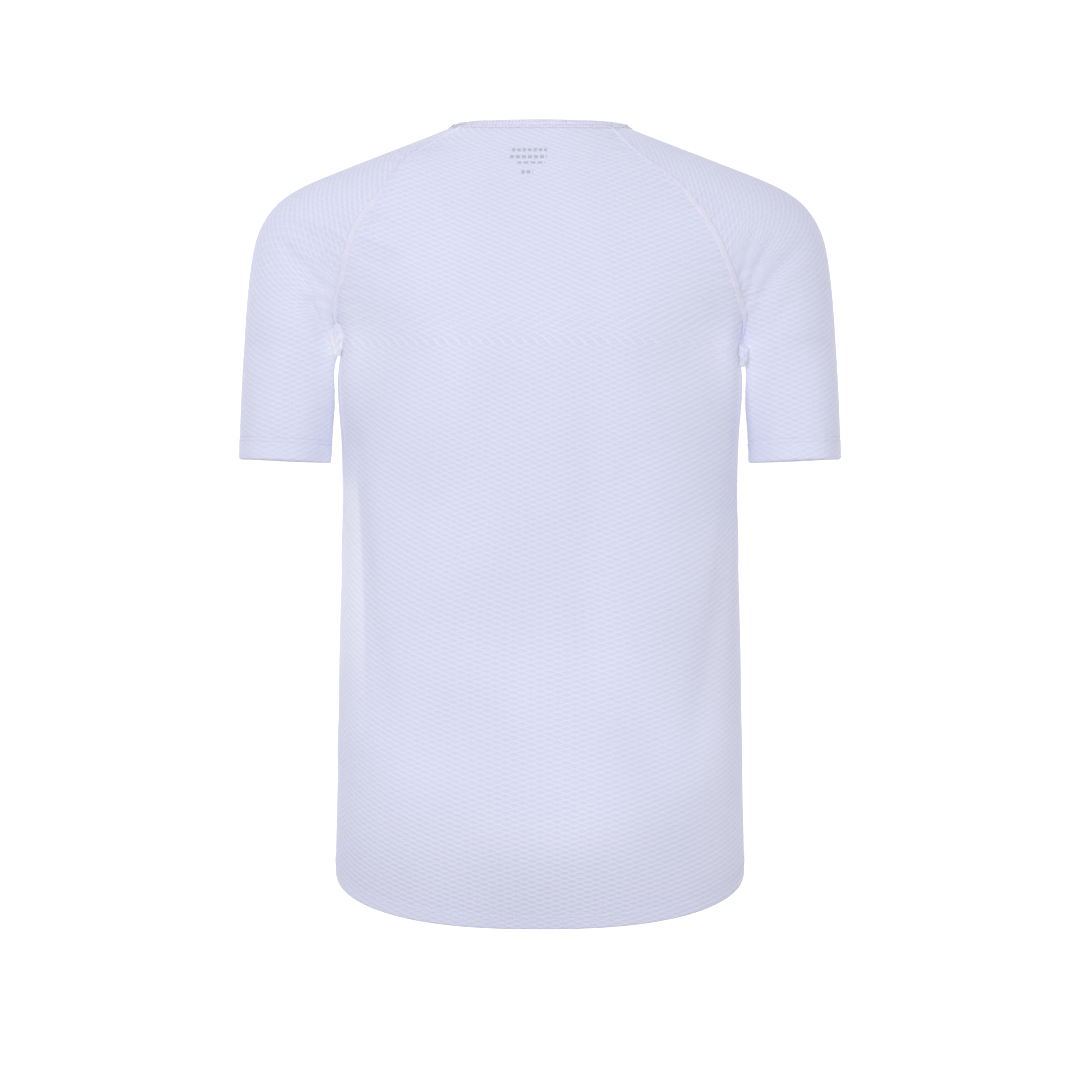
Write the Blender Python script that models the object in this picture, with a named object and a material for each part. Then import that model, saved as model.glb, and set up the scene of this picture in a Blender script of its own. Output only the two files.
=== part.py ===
"""A short-sleeve base layer of mesh knit, as it stands on a general figure that is left out.

Its pieces are the back, the front, two raglan sleeves and the neck band. Metres, +Z up, +X to the
wearer's right, +Y to the wearer's front. The origin is where the wearer's shoulders hold the shirt: the
middle of the neck opening, level with the neck's side points. Every piece is a wall of cloth: a grid of
points on its outer face, worked out from the tables below, and the same points moved in by the cloth's
thickness.
"""

import math

import bpy
import numpy as np


def table(columns, *rows):
    """A short table, kept as one array for each named column."""
    return dict(zip(columns.split(), np.array(rows, float).T))


# Cloth
CLOTH = 0.0012  # one layer of mesh knit
HEM_CLOTH = 0.0020  # two layers, where an edge is turned up and stitched
BAND_CLOTH = 0.0024  # the neck band, folded over the panels' raw edge
SEAM_GAP = 0.0003  # between two sewn pieces
LEAN_SHARE = 0.3  # how much two walls' slopes count beside their faces, where their seam is in a valley
CUFF_TURN = 0.020  # height of the sleeve's turned hem
TAIL_TURN = 0.016  # height of the body's turned hem
EDGE = 0.005  # the turned layer ends over this share of the piece below it

KNIT_COLOUR = (0.70, 0.71, 0.86, 1.0)

# Body: rings round the trunk, each a superellipse with its own depth behind and in front. Above the
# underarm a ring runs on past the raglan seams, so its half width there is more than the panels reach.
BODY = table(
    "height half_width back front squareness",
    (-0.008, 0.0900, 0.0645, 0.0480, 2.10),
    (-0.022, 0.1280, 0.0745, 0.0565, 2.15),
    (-0.040, 0.1770, 0.0855, 0.0665, 2.20),
    (-0.060, 0.2130, 0.0945, 0.0760, 2.25),
    (-0.080, 0.2330, 0.1015, 0.0840, 2.30),
    (-0.100, 0.2400, 0.1070, 0.0915, 2.30),
    (-0.130, 0.2215, 0.1135, 0.1010, 2.30),
    (-0.160, 0.1985, 0.1175, 0.1090, 2.30),
    (-0.180, 0.1835, 0.1190, 0.1130, 2.35),
    (-0.200, 0.1745, 0.1195, 0.1160, 2.40),
    (-0.216, 0.1760, 0.1195, 0.1170, 2.40),
    (-0.260, 0.1757, 0.1165, 0.1180, 2.40),
    (-0.330, 0.1735, 0.1090, 0.1150, 2.40),
    (-0.400, 0.1745, 0.1030, 0.1105, 2.40),
    (-0.460, 0.1762, 0.1030, 0.1085, 2.40),
    (-0.520, 0.1770, 0.1090, 0.1085, 2.40),
    (-0.590, 0.1780, 0.1180, 0.1070, 2.40),
    (-0.650, 0.1793, 0.1085, 0.1030, 2.40),
    (-0.700, 0.1785, 0.0910, 0.0990, 2.40),
)
MEAN_RADIUS = 0.150  # of the rings, to turn angles into lengths along the cloth
UNDERARM = -0.200  # height where the raglan, side and sleeve seams meet

# Raglan seams, from the underarm up to the neck. The shirt is a little turned on its wearer, so its two
# back seams differ.
LEFT_BACK_SEAM = table(
    "height across",
    (-0.2000, 0.1715),
    (-0.1890, 0.1735),
    (-0.1770, 0.1763),
    (-0.1640, 0.1765),
    (-0.1420, 0.1712),
    (-0.1170, 0.1655),
    (-0.0990, 0.1590),
    (-0.0810, 0.1465),
    (-0.0620, 0.1335),
    (-0.0430, 0.1205),
    (-0.0273, 0.1015),
    (-0.0070, 0.0685),
)
RIGHT_BACK_SEAM = table(
    "height across",
    (-0.2000, 0.1715),
    (-0.1900, 0.1745),
    (-0.1780, 0.1760),
    (-0.1630, 0.1730),
    (-0.1400, 0.1655),
    (-0.1190, 0.1565),
    (-0.0980, 0.1462),
    (-0.0790, 0.1335),
    (-0.0625, 0.1205),
    (-0.0475, 0.1040),
    (-0.0355, 0.0880),
    (-0.0223, 0.0745),
    (-0.0085, 0.0625),
)
FRONT_SEAM = table(  # angle round the ring, from the middle of the front
    "height angle",
    (-0.2000, 101.6),
    (-0.1965, 93.0),
    (-0.1895, 85.0),
    (-0.1800, 76.5),
    (-0.1680, 68.0),
    (-0.1530, 58.0),
    (-0.1360, 48.5),
    (-0.1180, 39.5),
    (-0.0985, 32.0),
    (-0.0800, 27.0),
    (-0.0600, 22.0),
    (-0.0410, 18.0),
)
BACK_NECK = -0.0102  # height of the neckline in the middle of the back
FRONT_NECK = -0.090  # and of the front
NECK_ROUNDNESS = 2.3

# Side seams: angle round the ring, from the middle of the back. They run forward as they go down.
SIDE_SEAM = table(
    "height angle",
    (-0.200, 78.4),
    (-0.255, 76.0),
    (-0.330, 83.0),
    (-0.400, 91.5),
    (-0.480, 96.0),
    (-0.570, 97.0),
    (-0.670, 97.0),
)
SIDE_HEM = -0.6563  # height of the hem at the sides
TAIL_DROP = 0.0442  # the back hangs lower than the sides by this
TAIL_ROUNDNESS = 0.95
FRONT_RISE = 0.012  # and the front ends higher by this

# Largest folds: soft troughs that run down the body. Angles are from the middle of the back, and positive
# towards the wearer's right.
FOLDS = table(
    "top_angle top bottom_angle bottom half_width depth",
    (83.0, -0.255, 46.0, -0.545, 0.017, 0.0065),
    (-71.0, -0.225, -47.0, -0.540, 0.017, 0.0065),
    (20.0, -0.480, 34.0, -0.610, 0.024, 0.0030),
    (-16.0, -0.490, -33.0, -0.605, 0.024, 0.0030),
    (118.0, -0.250, 138.0, -0.560, 0.020, 0.0055),
    (-121.0, -0.260, -140.0, -0.540, 0.020, 0.0055),
)

# Sleeve: its top line as seen from behind is the shoulder's slope, a round cap and the arm.
TOP_LINE = table(
    "across height",
    (0.0800, -0.0062),
    (0.1050, -0.0157),
    (0.1600, -0.0367),
    (0.1900, -0.0482),
    (0.2110, -0.0576),
    (0.2297, -0.0703),
    (0.2415, -0.0850),
    (0.2485, -0.1000),
    (0.2525, -0.1170),
    (0.2572, -0.1560),
    (0.2607, -0.2100),
    (0.2632, -0.2650),
    (0.2643, -0.2970),
)
CUFF_RUN = 0.3957  # from the neck to the cuff, along the top line
UNDERARM_RUN = 0.2935  # and to the top end of the underarm's section
ARM_INSIDE = table(  # the sleeve's underarm line, from the underarm to the cuff
    "share across forward height",
    (0.00, 0.1715, -0.0310, -0.2000),
    (0.12, 0.1772, -0.0150, -0.2120),
    (0.35, 0.1786, -0.0080, -0.2340),
    (0.65, 0.1805, -0.0070, -0.2640),
    (1.00, 0.1823, -0.0070, -0.2995),
)
ARM_BACK, CUFF_BACK = 0.066, 0.060  # the sleeve's depth behind the arm, at the underarm and the cuff
ARM_FRONT, CUFF_FRONT = 0.064, 0.058
# Body and sleeve meet in a valley up to this share of each raglan seam, from the underarm. The sleeve sets
# off there at this many degrees from outward, and would be this much deeper at the neck.
VALLEY = {
    "behind": (0.55, 90, 0.036),
    "in front": (0.90, 80, 0.030),
}
SEAM_REACH, TOP_REACH = 0.39, 0.45  # how far a section's handles reach elsewhere, as shares of its chord

# Neck band
BAND_WIDTH = 0.012
BAND_LEAN = table("angle inward", (0, 0.69), (90, 0.78), (180, 0.35))  # as a share of its width, all round

# How finely the cloth is faceted
BACK_COLUMNS = 26
FRONT_COLUMNS = 26
RAGLAN_ROWS = 13
BODY_ROWS = 12
ARM_ROWS = 5
HALF_SECTION = 8


def spline(xs, ys, at):
    """A natural cubic spline through (xs, ys), read at these places. It runs on straight past its ends."""
    order = np.argsort(xs)
    xs, ys, at = xs[order], ys[order], np.asarray(at, float)
    step = np.diff(xs)
    slope = np.diff(ys) / step
    rows = np.eye(len(xs))
    right = np.zeros(len(xs))
    inner = np.arange(1, len(xs) - 1)
    rows[inner, inner - 1] = step[:-1]
    rows[inner, inner] = 2 * (step[:-1] + step[1:])
    rows[inner, inner + 1] = step[1:]
    right[1:-1] = 6 * np.diff(slope)
    bend = np.linalg.solve(rows, right)
    i = np.clip(np.searchsorted(xs, at) - 1, 0, len(step) - 1)
    inside = np.clip(at, xs[0], xs[-1])
    a, b = (xs[i + 1] - inside) / step[i], (inside - xs[i]) / step[i]
    curve = a * ys[i] + b * ys[i + 1] + ((a**3 - a) * bend[i] + (b**3 - b) * bend[i + 1]) * step[i] ** 2 / 6
    start = slope[0] - step[0] * bend[1] / 6
    end = slope[-1] + step[-1] * bend[-2] / 6
    return curve + np.minimum(at - xs[0], 0) * start + np.maximum(at - xs[-1], 0) * end


def column(rows, name, height):
    """A table's named column at these heights."""
    return spline(rows["height"], rows[name], height)


def signed_power(value, power):
    return np.sign(value) * np.abs(value) ** power


def fold_depth(angle, height):
    """How far the soft troughs push the body's cloth in, at these angles and heights."""
    depth = np.zeros(np.broadcast(angle, height).shape)
    for top_angle, top, bottom_angle, bottom, half_width, deepest in zip(*FOLDS.values()):
        along = np.clip((height - top) / (bottom - top), 0, 1)
        middle = np.radians(top_angle + (bottom_angle - top_angle) * along)
        away = np.angle(np.exp(1j * (angle - middle))) * MEAN_RADIUS / half_width
        depth = depth + deepest * np.sin(math.pi * along) * np.exp(-(away**2))
    return depth


def body_point(angle, height):
    """The body's outer face: angle in radians from the middle of the back, towards the wearer's right."""
    angle, height = np.broadcast_arrays(angle, height)
    power = 2 / column(BODY, "squareness", height)
    behind = np.cos(angle) > 0
    depth = np.where(behind, column(BODY, "back", height), column(BODY, "front", height))
    x = column(BODY, "half_width", height) * signed_power(np.sin(angle), power)
    y = -depth * signed_power(np.cos(angle), power)
    inward = fold_depth(angle, height) / np.hypot(x, y)
    return np.stack([x * (1 - inward), y * (1 - inward), height], axis=-1)


def body_normal(angle, height):
    """The body's outward normal, from the cross product of its two directions."""
    small = 1e-4
    across = body_point(angle + small, height) - body_point(angle - small, height)
    up = body_point(angle, height + small) - body_point(angle, height - small)
    return unit(np.cross(across, up))


def unit(vectors):
    return vectors / np.linalg.norm(vectors, axis=-1, keepdims=True)


def smooth_step(value):
    value = np.clip(value, 0, 1)
    return value * value * (3 - 2 * value)


def along_seam(seam, share, unit_length):
    """A seam table's two columns at shares of its length. One unit of the second is unit_length long."""
    first, second = seam.values()
    step = np.hypot(np.diff(first), np.diff(second) * unit_length)
    at = np.concatenate([[0], np.cumsum(step)]) / step.sum()
    return spline(at, first, share), spline(at, second, share)


def back_seam(share, side):
    """Angle and height along a back raglan seam; side is 1 on the wearer's right and -1 on the left."""
    height, across = along_seam(RIGHT_BACK_SEAM if side > 0 else LEFT_BACK_SEAM, share, 1)
    return ring_angle(side * across, height, 1), height


def front_seam(share, side):
    """Angle and height along a front raglan seam."""
    height, angle = along_seam(FRONT_SEAM, share, math.radians(MEAN_RADIUS))
    return side * np.radians(180 - angle), height


def hem_height(angle):
    """The hem dips to a rounded tail behind and rises a little in front."""
    behind = np.maximum(np.cos(angle), 0) ** TAIL_ROUNDNESS
    before = np.maximum(-np.cos(angle), 0) ** 2
    return SIDE_HEM - TAIL_DROP * behind + FRONT_RISE * before


def panel_grid(seam, from_side, to_side, neck_height, columns):
    """Rows of points from seam to seam: the hem and the body first, then up the raglan to the neckline."""
    u = np.linspace(-1, 1, columns + 1)
    turn = TAIL_TURN / (UNDERARM - SIDE_HEM)
    shares = np.concatenate([[1, 1 - turn], np.linspace(1 - turn - EDGE, 0, BODY_ROWS)])[:, None]
    side_height = UNDERARM + (SIDE_HEM - UNDERARM) * shares
    side_angle = np.radians(column(SIDE_SEAM, "angle", side_height))
    angle = lay_across(from_side * side_angle, to_side * side_angle, u)
    lower = body_point(angle, UNDERARM + (hem_height(angle) - UNDERARM) * shares)

    share = np.linspace(0, 1, RAGLAN_ROWS + 1)[1:, None]
    (start, first), (end, last) = seam(share, from_side), seam(share, to_side)
    height = first + (last - first) * (u + 1) / 2
    middle = UNDERARM + (height - UNDERARM) * (neck_height - UNDERARM) / (height[-1] - UNDERARM)
    angle = lay_across(start, end, u)
    x = body_point(angle, height)[..., 0]
    dip = 1 - np.abs(x / x[:, :1]) ** NECK_ROUNDNESS
    height = height + (middle - height) * dip
    upper = body_point(ring_angle(x, height, np.cos(angle)), height)
    return np.concatenate([lower, upper])


def ring_angle(x, height, behind):
    """The angle at which the ring at this height has this x, behind (positive) or in front (negative)."""
    reach = np.minimum(np.abs(x) / column(BODY, "half_width", height), 1)
    angle = np.arcsin(reach ** (column(BODY, "squareness", height) / 2))
    return np.sign(x) * np.where(behind > 0, angle, math.pi - angle)


def lay_across(start, end, u):
    """Angles evenly from start to end, which is reached round the front if it is the smaller of the two."""
    end = np.where(end < start, end + 2 * math.pi, end)
    return start + (end - start) * (u + 1) / 2


def top_line(run, side):
    """Points of the sleeve's top line at these distances from the neck."""
    across, height = TOP_LINE["across"], TOP_LINE["height"]
    at = np.concatenate([[0], np.cumsum(np.hypot(np.diff(across), np.diff(height)))])
    return np.stack([side * spline(at, across, run), np.zeros_like(run), spline(at, height, run)], axis=1)


def half_section(start, top, facing, handles):
    """Cubic curves from a seam to the top line, behind the arm (facing -1) or before it (facing 1).

    handles are how each curve sets off from its seam, and how far its other handle is from the top line."""
    set_off, top_reach = handles
    t = np.linspace(0, 1, HALF_SECTION + 1)[None, :, None]
    near_top = top + np.array([0.0, facing, 0.0]) * top_reach[:, None]
    p0, p1, p2, p3 = (p[:, None, :] for p in (start, start + set_off, near_top, top))
    return p0 * (1 - t) ** 3 + 3 * p1 * t * (1 - t) ** 2 + 3 * p2 * t**2 * (1 - t) + p3 * t**3


def section_frame(start, top):
    """Outward, from each seam point towards the top line, and the length of the chord between them."""
    outward = unit((top - start) * np.array([1.0, 0.0, 1.0]))
    return outward, np.linalg.norm(top - start, axis=1)


def deep_handles(start, top, facing, depth, way):
    """Handles that set off the given way, turned from outward, and make the section reach this depth."""
    outward, _ = section_frame(start, top)
    top_reach = np.full(len(start), 4 / 3) * depth
    reach = ((8 * depth - 4 * facing * start[:, 1]) / 3 - top_reach) / math.sin(way)
    turned = outward * math.cos(way) + np.array([0.0, facing, 0.0]) * math.sin(way)
    return turned * reach[:, None], top_reach


def smooth_handles(start, top, normal):
    """Handles that carry the body's cloth straight on past its seam."""
    outward, chord = section_frame(start, top)
    onward = unit(np.cross(normal, np.cross(outward, np.array([0.0, 1.0, 0.0]))))
    onward = onward * np.sign((onward * outward).sum(axis=1))[:, None]
    return onward * (SEAM_REACH * chord)[:, None], TOP_REACH * chord


def sleeve_grid(side):
    """Rows of points round the sleeve, from the back seam over the top to the front seam, cuff first."""
    turn = CUFF_TURN / (CUFF_RUN - UNDERARM_RUN)
    shares = np.concatenate([[1, 1 - turn], np.linspace(1 - turn - EDGE, 0, ARM_ROWS)[:-1]])
    share, *places = ARM_INSIDE.values()
    inside = [spline(share, place, shares) for place in places]
    inside = np.stack(inside, axis=1) * np.array([side, 1, 1])
    top = top_line(UNDERARM_RUN + (CUFF_RUN - UNDERARM_RUN) * shares, side)
    halves = []
    for facing, at_underarm, at_cuff in ((-1, ARM_BACK, CUFF_BACK), (1, ARM_FRONT, CUFF_FRONT)):
        depth = at_underarm + (at_cuff - at_underarm) * shares
        handles = deep_handles(inside, top, facing, depth, math.pi / 2)
        halves.append(half_section(inside, top, facing, handles))
    lower = np.concatenate([halves[0], halves[1][:, -2::-1]], axis=1)

    share = np.linspace(0, 1, RAGLAN_ROWS + 1)
    top = top_line(UNDERARM_RUN * (1 - share), side)
    halves = []
    sides = (-1, back_seam, ARM_BACK, "behind"), (1, front_seam, ARM_FRONT, "in front")
    for facing, seam, depth, place in sides:
        end, way, spread = VALLEY[place]
        valley = 1 - smooth_step(share / end)
        angle, height = seam(share, side)
        start = body_point(angle, height)
        deep = deep_handles(start, top, facing, depth + spread * share, math.radians(way))
        smooth = smooth_handles(start, top, body_normal(angle, height))
        set_off = deep[0] * valley[:, None] + smooth[0] * (1 - valley)[:, None]
        handles = set_off, deep[1] * valley + smooth[1] * (1 - valley)
        halves.append(half_section(start, top, facing, handles))
    upper = np.concatenate([halves[0], halves[1][:, -2::-1]], axis=1)
    return np.concatenate([lower, upper])


class Cloth:
    """One piece of cloth: a grid of points on its outer face, from its hem up.

    Its first closed_rows rows are joined into a tube, and its first hem_rows rows are of two layers."""

    def __init__(self, name, grid, closed_rows=0, hem_rows=2, thickness=CLOTH, flip=False):
        rows, columns, _ = grid.shape
        index = np.arange(rows * columns).reshape(rows, columns)
        index[:closed_rows, -1] = index[:closed_rows, 0]
        used, flat = np.unique(index, return_inverse=True)
        self.name = name
        self.grid = flat.reshape(rows, columns)
        self.points = grid.reshape(-1, 3)[used]
        self.faces = self.triangles(self.grid)
        if flip:
            self.faces = self.faces[:, ::-1]
        self.thickness = np.full(len(used), thickness)
        self.thickness[self.grid[:hem_rows]] = HEM_CLOTH
        self.inward = -self.normals()
        self.shift = np.zeros_like(self.points)

    def triangles(self, grid):
        """Two for each cell of the grid, cut along its shorter diagonal."""
        corners = (grid[:-1, :-1], grid[:-1, 1:], grid[1:, 1:], grid[1:, :-1])
        a, b, c, d = (corner.ravel() for corner in corners)
        rising = np.linalg.norm(self.points[a] - self.points[c], axis=1)
        falling = np.linalg.norm(self.points[b] - self.points[d], axis=1)
        one = np.stack([a, b, c, a, c, d], axis=1)
        other = np.stack([a, b, d, b, c, d], axis=1)
        return np.where((rising < falling)[:, None], one, other).reshape(-1, 3)

    def normals(self):
        """Outward at each point: the mean of the triangles round it, weighted by their areas."""
        a, b, c = (self.points[self.faces[:, i]] for i in range(3))
        around = np.zeros_like(self.points)
        for i in range(3):
            np.add.at(around, self.faces[:, i], np.cross(b - a, c - a))
        return unit(around)

    def keep_clear(self, line, away):
        """Draws a line of points back from its seam, and leans the wall there to stay on its side."""
        self.shift[line] += away * SEAM_GAP / 2
        inward = self.inward[line]
        over = np.minimum((inward * away).sum(axis=1), 0)
        self.inward[line] = unit(inward - away * over[:, None])

    def wall(self, material):
        """The closed wall: the outer face, the inner face and the edges between them."""
        outer = self.points + self.shift
        inner = outer + self.inward * self.thickness[:, None]
        count = len(outer)
        ahead = np.stack([self.faces, np.roll(self.faces, -1, axis=1)], axis=-1).reshape(-1, 2)
        known = set(map(tuple, ahead.tolist()))
        edges = [(a, b) for a, b in ahead.tolist() if (b, a) not in known]
        rims = [(b, a, a + count, b + count) for a, b in edges]
        faces = self.faces.tolist() + (self.faces[:, ::-1] + count).tolist() + rims
        mesh = bpy.data.meshes.new(self.name)
        mesh.from_pydata(np.concatenate([outer, inner]).tolist(), [], faces)
        mesh.shade_smooth()
        mesh.materials.append(material)
        piece = bpy.data.objects.new(self.name, mesh)
        bpy.context.scene.collection.objects.link(piece)


def sew(first, first_line, first_next, second, second_line, second_next):
    """Leaves a seam's gap between two pieces, to each side of the plane midway between them.

    Each piece gives the points along its edge and those along the next line in."""
    into_first = unit(first.points[first_next] - first.points[first_line])
    into_second = unit(second.points[second_next] - second.points[second_line])
    lean = first.inward[first_line] - second.inward[second_line]
    away = unit(into_first - into_second + LEAN_SHARE * lean)
    first.keep_clear(first_line, away)
    second.keep_clear(second_line, -away)


def mesh_knit(name):
    """A white openwork knit with a breath of lavender."""
    material = bpy.data.materials.new(name)
    material.use_nodes = True
    shader = material.node_tree.nodes["Principled BSDF"]
    shader.inputs["Base Color"].default_value = KNIT_COLOUR
    shader.inputs["Roughness"].default_value = 0.8
    shader.inputs["Metallic"].default_value = 0.0
    return material


def band_grid(bottom):
    """Three rings of points up the neck band, which leans inwards from the neckline."""
    radial = unit((bottom - bottom.mean(axis=0)) * np.array([1.0, 1.0, 0.0]))
    angle = np.degrees(np.arccos(np.clip(-radial[:, 1], -1, 1)))
    inward = spline(BAND_LEAN["angle"], BAND_LEAN["inward"], angle)
    way = -radial * inward[:, None]
    way[:, 2] = np.sqrt(1 - inward**2)
    return np.stack([bottom, bottom + way * BAND_WIDTH / 2, bottom + way * BAND_WIDTH])


def sew_panels(back, front, left, right, body_row, arm_row):
    """The side seams up to the underarm, and the raglan seams from there to the neck."""
    side = slice(0, body_row + 1)
    body, arm = slice(body_row, None), slice(arm_row, None)
    first, last = (0, 1), (-1, -2)
    seams = [
        (back, side, first, front, side, last),
        (back, side, last, front, side, first),
        (back, body, first, left, arm, first),
        (back, body, last, right, arm, first),
        (front, body, first, right, arm, last),
        (front, body, last, left, arm, last),
    ]
    for one, one_rows, one_edge, other, other_rows, other_edge in seams:
        one_lines = [one.grid[one_rows, column] for column in one_edge]
        other_lines = [other.grid[other_rows, column] for column in other_edge]
        sew(one, *one_lines, other, *other_lines)


def main():
    for old in list(bpy.data.objects):
        bpy.data.objects.remove(old)

    back_grid = panel_grid(back_seam, -1, 1, BACK_NECK, BACK_COLUMNS)
    front_grid = panel_grid(front_seam, 1, -1, FRONT_NECK, FRONT_COLUMNS)
    left_grid, right_grid = sleeve_grid(-1), sleeve_grid(1)
    neckline = [back_grid[-1], right_grid[-1, 1:], front_grid[-1, 1:], left_grid[-1, -2::-1]]
    arm_rows = len(right_grid) - RAGLAN_ROWS

    back = Cloth("back_panel", back_grid)
    front = Cloth("front_panel", front_grid)
    right = Cloth("right_sleeve", right_grid, closed_rows=arm_rows)
    left = Cloth("left_sleeve", left_grid, closed_rows=arm_rows, flip=True)
    rings = band_grid(np.concatenate(neckline))
    band = Cloth("neck_band", rings, closed_rows=len(rings), hem_rows=0, thickness=BAND_CLOTH)

    sew_panels(back, front, left, right, len(back_grid) - RAGLAN_ROWS - 1, arm_rows - 1)
    start = 0
    for piece, order in ((back, 1), (right, 1), (front, 1), (left, -1)):
        edge, below = piece.grid[-1, ::order], piece.grid[-2, ::order]
        here = slice(start, start + len(edge))
        sew(piece, edge, below, band, band.grid[0, here], band.grid[1, here])
        start += len(edge) - 1

    for piece in (back, front, left, right, band):
        piece.wall(mesh_knit(piece.name + "_knit"))


main()
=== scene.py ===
# %% [markdown]
# # A short-sleeve base layer in openwork knit
# The shirt stands as it is worn, with no wearer in it. A maker cuts a back, a front and two raglan
# sleeves from one white mesh knit, joins them with flat seams, turns up the hem and the cuffs, and
# binds the neck with a folded strip. Here each piece is a thin surface worked out on a grid: the
# same formulas as the solid model, read more finely, with creases pressed in. The packed model is
# loaded first, because every piece has to lie where its solid lies.

# %% The frame
import math

import bpy
import numpy as np
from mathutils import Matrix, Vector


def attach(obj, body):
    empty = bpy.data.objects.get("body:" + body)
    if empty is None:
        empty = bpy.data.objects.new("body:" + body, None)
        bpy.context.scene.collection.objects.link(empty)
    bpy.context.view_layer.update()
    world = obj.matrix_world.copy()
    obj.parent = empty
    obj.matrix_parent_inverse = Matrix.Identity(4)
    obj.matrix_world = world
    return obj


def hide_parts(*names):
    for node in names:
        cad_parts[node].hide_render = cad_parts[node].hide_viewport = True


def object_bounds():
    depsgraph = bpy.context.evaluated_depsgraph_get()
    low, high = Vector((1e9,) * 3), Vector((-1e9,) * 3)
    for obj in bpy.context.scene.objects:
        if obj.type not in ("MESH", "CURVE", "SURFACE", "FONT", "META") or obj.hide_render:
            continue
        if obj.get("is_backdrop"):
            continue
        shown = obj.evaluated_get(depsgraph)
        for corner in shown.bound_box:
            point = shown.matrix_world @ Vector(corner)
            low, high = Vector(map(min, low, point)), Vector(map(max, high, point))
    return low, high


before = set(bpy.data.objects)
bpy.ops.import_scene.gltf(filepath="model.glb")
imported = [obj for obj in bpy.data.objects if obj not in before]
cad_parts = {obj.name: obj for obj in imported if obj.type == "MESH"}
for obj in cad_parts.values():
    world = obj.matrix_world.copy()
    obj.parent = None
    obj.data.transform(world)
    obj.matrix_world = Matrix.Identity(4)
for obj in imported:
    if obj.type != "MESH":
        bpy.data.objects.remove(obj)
cad_box = [[float(value) for value in corner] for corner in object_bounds()]
print("solids:", ", ".join(sorted(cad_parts)))
print("box in mm:", [round(1000 * (high - low), 1) for low, high in zip(*cad_box)])

# %% [markdown]
# ## The camera
# The back is seen square on from a little over three metres, level with the middle of the shirt.
# A long lens from there keeps the sleeves and the hem from bowing.

# %% Camera
CAMERA_DISTANCE = 3.2
CAMERA_HEIGHT = -0.366
SEEN_WIDTH = 0.9504  # width of the view in the plane of the shoulders
SENSOR_WIDTH = 36

camera = bpy.data.objects.new("camera", bpy.data.cameras.new("camera"))
camera.location = (0, -CAMERA_DISTANCE, CAMERA_HEIGHT)
camera.rotation_euler = (math.radians(90), 0, 0)
camera.data.sensor_width = SENSOR_WIDTH
camera.data.lens = SENSOR_WIDTH * CAMERA_DISTANCE / SEEN_WIDTH
bpy.context.scene.collection.objects.link(camera)
bpy.context.scene.camera = camera
print("lens in mm:", round(camera.data.lens, 1))

# %% [markdown]
# ## Small tools for nodes and meshes
# A material is a chain of many small steps. Written out, each step is a node with two or three
# links, so a few helpers make them in one line each. Another pair turns a grid of points into
# faces and faces into an object, which every piece below needs.

# %% Node helpers


def join(tree, socket, value):
    """Links a socket to an output, or sets its number or vector."""
    if isinstance(value, bpy.types.NodeSocket):
        tree.links.new(value, socket)
    else:
        socket.default_value = value


def fill(tree, node, **values):
    """Sets or links a node's inputs; spaces in their names are underscores."""
    for label, value in values.items():
        join(tree, node.inputs[label.replace("_", " ")], value)


def add_node(tree, kind, **values):
    """A new node with these inputs; returns its outputs."""
    node = tree.nodes.new("ShaderNode" + kind)
    fill(tree, node, **values)
    return node.outputs


def calculate(tree, operation, *values):
    """A Math node; returns its output."""
    node = tree.nodes.new("ShaderNodeMath")
    node.operation = operation
    for socket, value in zip(node.inputs, values):
        join(tree, socket, value)
    return node.outputs[0]


def remap(tree, value, low, high, to_low, to_high):
    """A smooth step from one range to another; returns its output."""
    node = tree.nodes.new("ShaderNodeMapRange")
    node.interpolation_type = "SMOOTHSTEP"
    for socket, number in zip(node.inputs, (value, low, high, to_low, to_high)):
        join(tree, socket, number)
    return node.outputs[0]


def split(tree, vector):
    """A vector's x, y and z, as outputs 0, 1 and 2."""
    return add_node(tree, "SeparateXYZ", Vector=vector)


def blend_colour(tree, share, first, second, kind="MIX"):
    """Mixes two colours; returns the output."""
    node = tree.nodes.new("ShaderNodeMix")
    node.data_type, node.blend_type = "RGBA", kind
    for place, value in ((0, share), (6, first), (7, second)):
        join(tree, node.inputs[place], value)
    return node.outputs[2]


def new_material(name):
    """An empty material; returns it, its tree, its shader and its texture coordinates."""
    material = bpy.data.materials.new(name)
    material.use_nodes = True
    tree = material.node_tree
    places = tree.nodes.new("ShaderNodeTexCoord").outputs
    return material, tree, tree.nodes["Principled BSDF"], places


# %% Mesh helpers


def grid_faces(index):
    """Four corners for each face of a grid whose points are numbered by this array."""
    corners = index[:-1, :-1], index[:-1, 1:], index[1:, 1:], index[1:, :-1]
    return np.stack(corners, axis=-1).reshape(-1, 4)


def make_piece(name, points, faces, material):
    """A smooth mesh object at the origin, from a list of points and a list of faces."""
    mesh = bpy.data.meshes.new(name)
    mesh.from_pydata(points.tolist(), [], faces.tolist())
    mesh.shade_smooth()
    mesh.materials.append(material)
    piece = bpy.data.objects.new(name, mesh)
    bpy.context.scene.collection.objects.link(piece)
    return piece


# %% [markdown]
# ## The studio
# White cloth shows its folds only if the light is stronger from one side, and keeps its colour
# only if the rest of the room is white too. So the shirt hangs in front of a white sweep that runs
# from the floor up behind it, under a white sky. Two large soft lamps stand in front of it, the
# stronger one high on the left, and a small one above touches the shoulders. The sweep glows a
# little, as it does with lamps of its own, so that it stays lighter than the shirt.

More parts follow.
